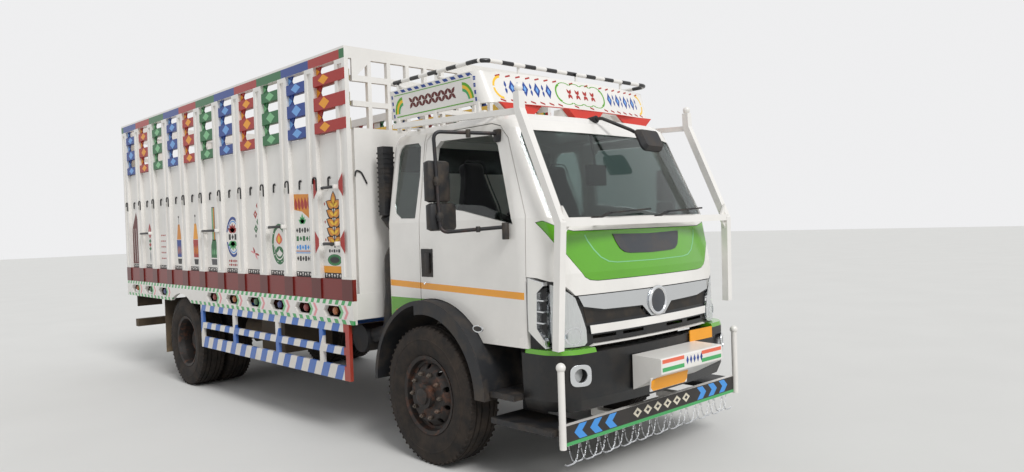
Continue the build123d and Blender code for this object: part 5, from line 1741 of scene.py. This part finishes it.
@dataclass
class Front:
    """What the nose of the cab carries: bare badge plate, ring, lamp insides, bezels, plates and chevrons."""

    clear_y: float = -4.4
    lamp_outline: tuple[Span, ...] = (
        (-0.728, 0.990), (-0.748, 0.972), (-0.935, 0.972), (-0.935, 1.374), (-0.868, 1.332), (-0.806, 1.28),
        (-0.760, 1.175), (-0.728, 1.070),
    )
    chrome: BareMetal = BareMetal("Bright chrome plate", "#E2E4E6", 0.06)
    silver: BareMetal = BareMetal("Vacuum-metallised reflector", "#DADDE0", 0.16)
    dark: Moulding = Moulding("Dark grey satin moulding", "#3A3D42", 0.4)
    close_mesh: Moulding = Moulding("Close black grille mesh", "#17130F", 0.6, grain_mm=6.0, grain_depth=0.9)

    def laid(self, outline: list, node: str, thickness: float = 0.003, step: float = 0.03) -> Object:
        """Lays a shape on the nose, from straight ahead."""
        return wrap(outline, on_front(self.clear_y), node, "Y", thickness, step)

    @staticmethod
    def squarish(value: float) -> float:
        """Pushes a circle's coordinate outwards, towards a square with round corners."""
        return (1 if value > 0 else -1) * abs(value) ** 0.6

    def panel(self) -> None:
        """The badge plate, left bare, and a pale green painted highlight along the pressed line round it."""
        plate = [(0, 1.692), (0.392, 1.700), (0.374, 1.646), (0.345, 1.598), (0.305, 1.572), (0.25, 1.562),
                 (0, 1.556)]
        fit(self.laid(both_ways(plate), "front_panel", 0.012), "badge_plate",
            material=self.dark.make(), smooth=40)
        # painted highlight: a pale green band stands in for the light caught by the pressed line
        line = [(0.655, 1.70), (0.640, 1.66), (0.600, 1.60), (0.548, 1.545), (0.480, 1.512), (0.40, 1.502),
                (0.0, 1.498)]
        inner = [(u * 0.985 if u else 0, v + 0.006) for u, v in reversed(line)]
        band = both_ways(line) + [(-u, v) for u, v in reversed(inner) if u] + inner
        fit(self.laid(band, "front_panel", 0.002), "pressed_line_painted_highlight",
            material=sign_paint(Hue.PALE_GREEN), smooth=40)

    def ring(self) -> None:
        """A plain chrome ring on the upper strip, with nothing written in it."""
        section = [(0.096 + 0.014 * cos(a), 0.011 * sin(a)) for a in (2 * pi * k / 10 for k in range(10))]
        hoop = turned(section, 48, on_front(-3.878, 0, 1.206))
        dish = ((0.0, 0.0), (0.093, 0.0), (0.093, 0.004), (0.05, 0.009), (0.0, 0.01))
        disc = turned(dish, 40, on_front(-3.874, 0, 1.206))
        coat(hoop, self.chrome.make())
        coat(disc, self.dark.make())
        fit(join([hoop, disc]), "front_ring", smooth=40)

    def strips(self) -> None:
        """The white enamelled face of the lower strip, and the close mesh between the strips."""
        strip = [(0, 1.040), (0.686, 1.040), (0.694, 1.0945), (0, 1.0945)]
        fit(self.laid(both_ways(strip), "grille_trim", 0.002), "white_strip",
            material=sign_paint(Hue.WHITE), smooth=40)
        mesh = [(0.09, 1.112), (0.70, 1.112), (0.725, 1.212), (0.568, 1.181), (0.18, 1.173), (0.105, 1.112)]
        for name, side in SIDES.items():
            part = wrap([(side * u, v) for u, v in mesh], on_front(-3.88), "grille", "Y", 0.005, 0.11, reach=0.12)
            fit(part, f"grille_mesh_{name}", material=self.close_mesh.make(), smooth=40)

    def lamps(self) -> None:
        """The reflectors, projectors and rib plates behind the lamp lenses, and the fog lamp bezels."""
        silver, chrome = self.silver.make(), self.chrome.make()
        for name, side in SIDES.items():
            outline = [(-side * u, v) for u, v in self.lamp_outline]
            back = wrap(outline, on_front(-3.64), "grille", "Y", 0.004, reach=0.11)
            fit(back, f"lamp_reflector_{name}", material=silver, smooth=40)
            bowl = ((0.030, -0.055), (0.052, -0.040), (0.068, -0.012), (0.074, 0.016), (0.079, 0.016),
                    (0.074, -0.012), (0.057, -0.046), (0.034, -0.062))
            lower = turned(bowl, 36, on_front(-3.735, side * 0.852, 1.038))
            upper = turned([(r * 0.8, z) for r, z in bowl], 36, on_front(-3.70, side * 0.862, 1.21))
            ribs = [
                side_block(side, (0.762 + 0.13 * (z - 1.07), 0.925), (-3.705, -3.685), (z, z + 0.006), 1 * MM)
                for z in (1.100 + 0.034 * k for k in range(7))
            ]
            fit(join([lower, upper] + ribs), f"lamp_bowls_{name}", material=chrome, smooth=45)
            hoop = self.laid(arc_band(side * 0.825, 1.035, 0.052, 0.06, 0, 359), "front_lamps", 0.002)
            fit(hoop, f"lamp_ring_{name}", material=chrome, smooth=40)
            globe = ((0.0, 0.034), (0.022, 0.030), (0.036, 0.018), (0.042, 0.0), (0.042, -0.02), (0.0, -0.02))
            lens = turned(globe, 32, on_front(-3.745, side * 0.852, 1.038))
            fit(lens, f"lamp_projector_{name}", material=Pane("Projector lens", "#DDE6EA").make(),
                smooth=50)
            rim = [(0.075 * self.squarish(cos(a)), 0.072 * self.squarish(sin(a)))
                   for a in (2 * pi * k / 40 for k in range(41))]
            hole = [(0.045 * cos(a), 0.045 * sin(a)) for a in (2 * pi * (40 - k) / 40 for k in range(41))]
            frame_plate = draw(rim + hole, 0.012)
            settle(frame_plate, on_front(-3.862, side * 0.85, 0.788) @ Matrix.Rotation(side * radians(26), 4, "Y"))
            fit(frame_plate, f"fog_bezel_{name}", material=chrome, edge=3 * MM)

    def vanes(self) -> None:
        """The pale enamelled faces of the air vanes at the cab's corners."""
        vane = [(-3.574, 1.428), (-3.662, 1.398), (-3.667, 1.378), (-3.631, 1.330), (-3.625, 1.098), (-3.668, 1.02),
                (-3.672, 0.972), (-3.571, 1.078), (-3.569, 1.216)]
        enamel = Enamel("Satin pale grey vane enamel", Hue.PALE_GREY, roughness=0.3, dust=0.1, coat=0.2).make()
        for name, side in SIDES.items():
            face = wrap(vane, on_wall(side, 1.3), "grille_trim", "X", 0.003, 0.04, side < 0)
            fit(face, f"vane_face_{name}", material=enamel, smooth=40)

    def plates(self) -> None:
        """The bare orange plates, the tricolour blocks on the box and the bar's black face with its chevrons."""
        box_front = Painting(on_front(-4.16))
        for start in (-0.362, 0.108):
            for hue, low, high in ((Hue.SAFFRON, 0.822, 0.848), (Hue.WHITE, 0.794, 0.822),
                                   (Hue.LEAF_GREEN, 0.766, 0.794)):
                box_front.add(hue, oblong((start, start + 0.254), (low, high)))
        for k in range(5):
            box_front.add(Hue.BLUE, diamond(-0.068 + 0.043 * k, 0.808, 0.015, 0.03))
        box_front.fit("box_stripes")
        hung = [(-0.386, 0.655), (-0.36, 0.633), (0.01, 0.633), (0.036, 0.655), (0.036, 0.70), (0.01, 0.7215),
                (-0.36, 0.7215), (-0.386, 0.70)]
        fit(self.laid(hung, "bumper_box", 0.004, 0.2), "hung_plate", material=sign_paint(Hue.ORANGE))
        small = Painting(on_front(-3.918, 0.47, 0.905), 8)
        small.add(Hue.ORANGE, oblong((-0.15, 0.15), (-0.042, 0.042)))
        small.fit("small_plate")
        face = Painting(on_front(-3.86))
        face.add(Hue.BLACK, oblong((-1.026, 1.026), (0.377, 0.485)))
        face.add(Hue.LEAF_GREEN, oblong((-1.026, 1.026), (0.354, 0.377)))
        for way in (-1, 1):
            for k in range(3):
                tip = way * (0.925 - 0.155 * k)
                back = tip - way * 0.05
                far = back - way * 0.075
                face.add(Hue.SKY_BLUE, [(tip, 0.431), (back, 0.479), (far, 0.479), (tip - way * 0.075, 0.431),
                                        (far, 0.383), (back, 0.383)], 1)
        for k in range(6):
            u = -0.26 + 0.12 * k
            face.add(Hue.CREAM, diamond(u, 0.432, 0.05, 0.036), 1)
            face.add(Hue.BLACK, diamond(u, 0.432, 0.022, 0.015), 2)
        face.fit("bar_face")

    def build(self) -> None:
        """Fits everything on the nose."""
        self.panel()
        self.ring()
        self.strips()
        self.lamps()
        self.vanes()
        self.plates()


@dataclass
class Crown:
    """Sign writer's borders, arcs and blossoms on the crown over the cab."""

    side_y: Span = (-3.03, -2.04)
    side_z: Span = (2.672, 2.894)
    front_z: Span = (2.674, 2.892)
    border_blocks: int = 11
    shapes: list = field(default_factory=list)

    def lay(self, hue: Hue, outline: list, side: int = 0, under: int = 0) -> None:
        """Lays one painted shape on the crown.

        Args:
            hue: its colour.
            outline: its corners on the face.
            side: -1 or 1 for the wall of that side, 0 for the front.
            under: how many coats lie under it.
        """
        step = 0.06 if side else 0.05
        place, axis = (on_wall(side, 1.25), "X") if side else (on_front(-3.5), "Y")
        sheet = wrap(outline, place, "crown", axis, (2 + 1.6 * under) * MM, step, side < 1)
        self.shapes.append(coat(sheet, sign_paint(hue)))

    def side_wall(self, side: int) -> None:
        """Striped border, green line, quarter rainbows and a row of blossoms.

        Args:
            side: -1 for the right-hand wall, 1 for the left-hand one.
        """
        start, end = self.side_y
        low, high = self.side_z
        pitch = (end - start) / self.border_blocks
        for k in range(self.border_blocks):
            left = start + k * pitch
            self.lay(Hue.BLUE, [(left, high - 0.024), (left + 0.55 * pitch, high - 0.024),
                                (left + 0.8 * pitch, high - 0.002), (left + 0.25 * pitch, high - 0.002)], side)
        for k in range(4):
            z = low + 0.012 + 0.05 * k
            self.lay(Hue.BLUE, oblong((start - 0.022, start - 0.004), (z, z + 0.028)), side)
            self.lay(Hue.BLUE, oblong((end + 0.004, end + 0.022), (z, z + 0.028)), side)
        self.lay(Hue.GREEN, oblong((start + 0.02, end - 0.02), (low + 0.012, low + 0.02)), side)
        self.lay(Hue.GREEN, oblong((start + 0.02, end - 0.02), (high - 0.04, high - 0.034)), side)
        for u, angles in ((start + 0.06, (95, 178)), (end - 0.06, (85, 2))):
            for inner, outer, hue in ((0.105, 0.125, Hue.GREEN), (0.082, 0.105, Hue.YELLOW),
                                      (0.062, 0.082, Hue.LEAF_GREEN)):
                centre = u + (0.07 if angles[0] > 90 else -0.07)
                self.lay(hue, arc_band(centre, low + 0.035, inner, outer, *angles, 1.05), side)
        for k in range(7):
            u = start + 0.25 + k * (end - start - 0.5) / 6
            for turn in (45, 135, 225, 315):
                self.lay(Hue.DARK_RED, petal(u, low + 0.105, 0.06, 0.03, turn, 4), side)

    def front(self) -> None:
        """Red dashes, yellow curves, a green wavy frame and blue and red blossoms."""
        low, high = self.front_z
        for z, lean in ((high - 0.03, 0.012), (low + 0.012, -0.012)):
            for k in range(19):
                u = -0.81 + 0.09 * k
                if abs(u) < 0.24 and k % 2:
                    continue
                self.lay(Hue.RED, [(u - 0.022, z), (u + 0.022, z + lean), (u + 0.022, z + 0.012 + lean),
                                   (u - 0.022, z + 0.012)])
        for side in SIDES.values():
            self.lay(Hue.YELLOW, arc_band(side * 0.79, low + 0.11, 0.066, 0.082, 90 - side * 85, 90 - side * 5, 1.1))
            self.lay(Hue.YELLOW, arc_band(side * 0.79, low + 0.11, 0.066, 0.082, side * 5 - 90, side * 85 - 90, 1.1))
            for k in range(4):
                u = side * (0.36 + 0.115 * k)
                self.lay(Hue.BLUE, diamond(u, low + 0.112, 0.03, 0.058))
                self.lay(Hue.PALE_BLUE, diamond(u, low + 0.112, 0.013, 0.026), under=1)
                for turn in (90, 270):
                    self.lay(Hue.BLUE, petal(u + side * 0.057, low + 0.112, 0.05, 0.02, turn, 4))
        for centre_v, way in ((low + 0.045, -1), (low + 0.18, 1)):
            for k in range(4):
                u = -0.18 + 0.12 * k
                self.lay(Hue.GREEN, arc_band(u, centre_v, 0.048, 0.062, 12 if way > 0 else 192,
                                             168 if way > 0 else 348, 0.35))
        for way in (-1, 1):
            self.lay(Hue.GREEN, arc_band(way * 0.225, low + 0.112, 0.05, 0.064, 90 - way * 168, 90 - way * 12, 1.2))
        for k in range(4):
            u = -0.135 + 0.09 * k
            for turn in (60, 120, 240, 300):
                self.lay(Hue.RED, petal(u, low + 0.112, 0.045, 0.024, turn, 4))

    def build(self) -> None:
        """Paints both walls and the front."""
        for side in SIDES.values():
            self.side_wall(side)
        self.front()
        fit(join(self.shapes), "crown_ornament")


@dataclass
class Mirrors:
    """The mirrors on their bent arms: moulded heads with rounded backs, clamps, brackets and glass."""

    arm_x: float = 1.368
    arm_y: Span = (-3.055, -3.10)
    arm_z: Span = (2.44, 1.751)
    arm_radius: float = 0.013
    top: Point = (0.95, -3.24, 2.43)
    foot: Point = (1.045, -3.40, 1.775)
    # low and high edges, width, and how far each head sits towards the cab from its arm
    heads: tuple[tuple[float, float, float, float], ...] = (
        (1.958, 2.244, 0.197, 0.04), (1.763, 1.953, 0.232, 0.055),
    )
    depth: float = 0.068
    plastic: Moulding = Moulding("Black grained mirror plastic", "#1C1C1E", 0.5, dust=0.45)
    steel: BareMetal = BareMetal("Black coated arm steel", "#2A2A2C", 0.35, 0.4, rust=0.35)
    silvering: BareMetal = BareMetal("Silvered mirror glass", "#DDE3E6", 0.02, grain_depth=0.0)

    def head(self, side: int, low: float, high: float, width: float, inward: float) -> list:
        """Makes one head on its arm.

        Args:
            side: -1 for the right side, 1 for the left one.
            low: the height of its lower edge.
            high: the height of its upper edge.
            width: its width.
            inward: how far its middle sits towards the cab from the arm.

        Returns:
            Its shell, its clamp, the band round the arm and, last, its glass.
        """
        middle = (low + high) / 2
        share = (self.arm_z[0] - middle) / (self.arm_z[0] - self.arm_z[1])
        arm_y = self.arm_y[0] + share * (self.arm_y[1] - self.arm_y[0])
        centre = side * (self.arm_x - inward)
        back = arm_y + 0.016
        shell = block((-width / 2, -(high - low) / 2, 0), (width / 2, (high - low) / 2, self.depth), 0.026)
        settle(shell, on_rear(back, centre, middle))
        glass = draw(oblong((0.012 - width / 2, width / 2 - 0.012),
                            (0.012 - (high - low) / 2, (high - low) / 2 - 0.012)), 1.5 * MM)
        settle(glass, on_rear(back + self.depth, centre, middle))
        clamp = rod((side * self.arm_x, arm_y - 0.02, middle), (side * self.arm_x, arm_y + 0.03, middle), 0.024, 20,
                    4 * MM)
        band = rod((side * self.arm_x, arm_y, middle - 0.03), (side * self.arm_x, arm_y, middle + 0.03), 0.02, 16,
                   2 * MM)
        return [shell, clamp, band, glass]

    def build(self) -> None:
        """Fits the mirrors of both doors."""
        plastic, steel, silvering = self.plastic.make(), self.steel.make(), self.silvering.make()
        for name, side in SIDES.items():
            shells, panes = [], []
            for head in self.heads:
                *moulded, glass = self.head(side, *head)
                shells += moulded
                panes.append(glass)
            bends = [(self.arm_x, y, z) for y, z in zip(self.arm_y, self.arm_z)]
            route = [(side * x, y, z) for x, y, z in (self.top, *bends, self.foot)]
            arm = coat(tube(route, self.arm_radius, 0.05), steel)
            top_x, top_y, top_z = self.top
            foot_x, foot_y, foot_z = self.foot
            brackets = [side_block(side, (top_x - 0.02, top_x + 0.012), (top_y - 0.03, top_y + 0.03),
                                   (top_z - 0.06, top_z + 0.03), 8 * MM)]
            for x, y, z, radius, sides, edge in (
                (foot_x + 0.002, foot_y, (foot_z - 0.085, foot_z + 0.03), 0.024, 20, 4 * MM),
                (1.15, -3.165, (2.40, 2.455), 0.017, 16, 2 * MM), (1.19, -3.283, (1.745, 1.785), 0.015, 16, 2 * MM),
            ):
                brackets.append(rod((side * x, y, z[0]), (side * x, y, z[1]), radius, sides, edge))
            heads = join([arm] + [coat(part, plastic) for part in shells + brackets])
            fit(heads, f"mirror_heads_{name}", f"door_{name}", smooth=40)
            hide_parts(f"mirror_{name}")
            fit(join(panes), f"mirror_glass_{name}", f"door_{name}", silvering)


@dataclass
class CabTrim:
    """Small parts of the cab: door handles and locks, marker lamps and a bare badge pill."""

    handle_y: Span = (-2.544, -2.400)
    handle_z: Span = (1.408, 1.624)
    recess_x: float = 1.02
    black: Moulding = Moulding("Black door handle plastic", "#141416", 0.45)
    chrome: BareMetal = BareMetal("Bright chrome trim", "#DFE1E4", 0.08)
    amber: Pane = Pane("Amber lamp lens", "#E8801A", 0.08, 1.58, 0.35)

    def doors(self) -> None:
        """A dark handle in its recess and a keyhole below it."""
        black, chrome = self.black.make(), self.chrome.make()
        for name, side in SIDES.items():
            dark_inside = side_block(
                side, (self.recess_x + 0.5 * MM, self.recess_x + 3 * MM),
                (self.handle_y[0] + 1 * MM, self.handle_y[1] - 1 * MM),
                (self.handle_z[0] + 1 * MM, self.handle_z[1] - 1 * MM),
            )
            pull = side_block(
                side, (self.recess_x + 2 * MM, self.recess_x + 23 * MM),
                (self.handle_y[0] + 0.028, self.handle_y[0] + 0.078),
                (self.handle_z[0] + 0.03, self.handle_z[1] - 0.03), 8 * MM,
            )
            fit(join([dark_inside, pull]), f"door_handle_{name}", f"door_{name}", black, 40)
            lock = settle(drum(0.011, 3 * MM, 20, 0.6 * MM), on_wall(side, 1.042, -2.462, 1.36))
            fit(lock, f"door_lock_{name}", f"door_{name}", chrome, 40)

    def lamps(self) -> None:
        """Amber lamps behind the doors, and a plain chrome pill on each corner."""
        amber, chrome = self.amber.make(), self.chrome.make()
        for name, side in SIDES.items():
            lamp = side_block(side, (1.035, 1.056), (-2.17, -2.085), (1.105, 1.145), 6 * MM)
            fit(lamp, f"side_lamp_{name}", material=amber, smooth=40)
            pill, inner = (
                wrap(circle(-3.375, 1.111, radius, 28, tall), on_wall(side, 1.3), "cab_shell", "X", thickness, 0.05,
                     side < 0)
                for radius, tall, thickness in ((0.05, 0.5, 8 * MM), (0.041, 0.42, 11 * MM))
            )
            fit(join([coat(pill, chrome), coat(inner, self.black.make())]), f"side_pill_{name}",
                smooth=40)

    def build(self) -> None:
        """Fits all of them."""
        self.doors()
        self.lamps()


@dataclass
class ChainFringe:
    """A fringe of galvanised chain under the lower bar: long loops that cross one another."""

    span: Span = (-1.005, 1.005)
    loops: int = 21
    drop: float = 0.128
    bar_y: float = -3.838
    top_z: float = 0.352
    links: int = 22
    wire: float = 0.0017
    link_half: Span = (0.0092, 0.0048)
    end_x: float = 1.01
    zinc: BareMetal = BareMetal("Galvanised chain wire", "#B9BBBD", 0.32)

    def link(self) -> Object:
        """One oval link, long along its own x axis.

        Returns:
            The link.
        """
        long, short = self.link_half
        ring = [(long * cos(a), short * sin(a), 0) for a in (2 * pi * k / 8 for k in range(9))]
        return tube(ring, self.wire, 0.0, 0)

    def build(self) -> None:
        """Hangs the loops."""
        places = []
        pitch = (self.span[1] - self.span[0]) / self.loops
        for k in range(self.loops):
            start = self.span[0] + k * pitch - 0.45 * pitch
            width = 1.9 * pitch
            shift = 0.008 if k % 2 else -0.008
            for n in range(self.links):
                t = (n + 0.5) / self.links
                x = start + width * t
                if abs(x) > self.end_x:
                    continue
                z = self.top_z - self.drop * (1 - (2 * t - 1) ** 4)
                slope = self.drop * 4 * (2 * t - 1) ** 3 * 2 / width
                lean = Matrix.Rotation(-atan2(slope, 1.0), 4, "Y")
                roll = Matrix.Rotation(radians(90 * (n % 2)), 4, "X")
                stretch = Matrix.Diagonal((0.6 + 0.16 * min(abs(slope), 6), 1, 1, 1))
                places.append(Matrix.Translation((x, self.bar_y + shift, z)) @ lean @ roll @ stretch)
        fringe = copies(self.link(), places)
        fit(fringe, "chain_links", material=self.zinc.make(), smooth=60)
        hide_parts("chain_fringe")


@dataclass
class Seats:
    """Two high-backed seats, their padding blown up in a cloth simulation, and the inside mirror."""

    seat_x: float = 0.5
    voxel: float = 0.009
    pressure: float = 4.0
    cap: float = 0.014
    frames: int = 20
    # half outline of the back with its head rest, from its foot up
    back_half: tuple[Span, ...] = (
        (0.200, 0.0), (0.216, 0.05), (0.212, 0.30), (0.196, 0.42), (0.142, 0.58), (0.116, 0.68), (0.112, 0.76),
        (0.085, 0.795),
    )
    cushion_half: tuple[Span, ...] = ((0.205, -0.225), (0.235, -0.2), (0.24, 0.16), (0.205, 0.19))
    cloth: SeatCloth = SeatCloth()
    shell: Moulding = Moulding("Seat base plastic", "#17181B", 0.6)

    def swell(self, pad: Object) -> Object:
        """Remeshes a pad evenly, blows it up as cloth under pressure and smooths it.

        Args:
            pad: the pad to puff up.

        Returns:
            The finished pad.
        """
        modify(pad, "Even skin", "REMESH", mode="VOXEL", voxel_size=self.voxel)
        before = [corner.co.copy() for corner in pad.data.vertices]
        air = pad.modifiers.new("Air pressure", "CLOTH")
        air.settings.use_pressure = True
        air.settings.uniform_pressure_force = self.pressure
        air.settings.effector_weights.gravity = 0
        for step in range(1, self.frames + 1):
            bpy.context.scene.frame_set(step)
        take(pad)
        bpy.ops.object.modifier_apply(modifier=air.name)
        for corner, start in zip(pad.data.vertices, before):
            move = corner.co - start
            if move.length > self.cap:
                corner.co = start + move.normalized() * self.cap
        bpy.context.scene.frame_set(1)
        return modify(pad, "Smooth skin", "SUBSURF", levels=1, render_levels=1)

    def pad(self, half: tuple[Span, ...], thickness: float, edge: float) -> Object:
        """A pad of the given half outline, with well-rounded edges."""
        piece = draw(list(half) + [(-u, v) for u, v in reversed(half)], thickness)
        return modify(piece, "Rounded edges", "BEVEL", width=edge, segments=3)

    def build(self) -> None:
        """Fits both seats and hangs the inside mirror."""
        cloth, shell = self.cloth.make(), self.shell.make()
        lean = Matrix(((1, 0, 0, 0), (0, 0.2, -0.98, -2.57), (0, 0.98, 0.2, 1.53), (0, 0, 0, 1)))
        back = settle(self.swell(self.pad(self.back_half, 0.09, 0.03)), lean @ Matrix.Translation((0, 0, -0.045)))
        bottom = settle(self.swell(self.pad(self.cushion_half, 0.095, 0.032)), Matrix.Translation((0, -2.79, 1.462)))
        rim = [(u * 0.98, v, 0.047) for u, v in self.back_half]
        piping = tube(rim + [(-u, v, w) for u, v, w in reversed(rim)], 0.005, 0.02)
        settle(piping, lean)
        one = join([back, bottom, piping])
        coat(one, cloth)
        places = [Matrix.Translation((side * self.seat_x, 0, 0)) for side in SIDES.values()]
        padding = fit(copies(one, places), "seat_padding", smooth=60)
        bases = []
        for side in SIDES.values():
            x = side * self.seat_x
            bases.append(block((x - 0.16, -2.96, 1.332), (x + 0.16, -2.56, 1.462), 15 * MM))
            bases.append(block((x - 0.22, -2.57, 1.44), (x + 0.22, -2.52, 1.56), 12 * MM))
        fit(join(bases), "seat_bases", material=shell, smooth=40)
        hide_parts("seats")
        glass = block((-0.245, -3.46, 2.06), (-0.035, -3.425, 2.215), 8 * MM)
        stalk = rod((-0.14, -3.44, 2.2), (-0.1, -3.36, 2.47), 0.009)
        fit(join([glass, stalk]), "inside_mirror", material=Moulding("Inside mirror shell").make(),
            smooth=40)


@dataclass
class RearLamps:
    """Ribbed red and amber lamps in the tail housings."""

    def build(self) -> None:
        """Fits three lenses to each housing."""
        for colour, name, low, high in (("#A81818", "stop", 0.812, 0.935), ("#E07A16", "turn", 0.94, 1.03),
                                        ("#D8DADC", "reverse", 1.035, 1.108)):
            lens = Pane(f"Moulded {name} lamp lens", colour, 0.12, 1.58, 0.3, flute_mm=7).make()
            parts = [side_block(side, (low, high), (4.068, 4.083), (0.845, 0.985), 4 * MM) for side in SIDES.values()]
            fit(join(parts), f"rear_{name}_lamps", material=lens, smooth=40)


def main() -> None:
    """Builds the truck's looks, one sub-assembly after another."""
    logging.basicConfig(level=logging.INFO, format="%(name)s %(message)s")
    assemblies = (
        Studio(), Coachwork(), SlatOrnament(), WallFittings(), WallFigures(), EdgeRail(),
        Wheels(), Front(), Crown(), Mirrors(), CabTrim(), ChainFringe(), Seats(), RearLamps(),
    )
    for assembly in assemblies:
        assembly.build()
        log.info("%s finished", type(assembly).__name__)


if __name__ == "__main__":
    main()
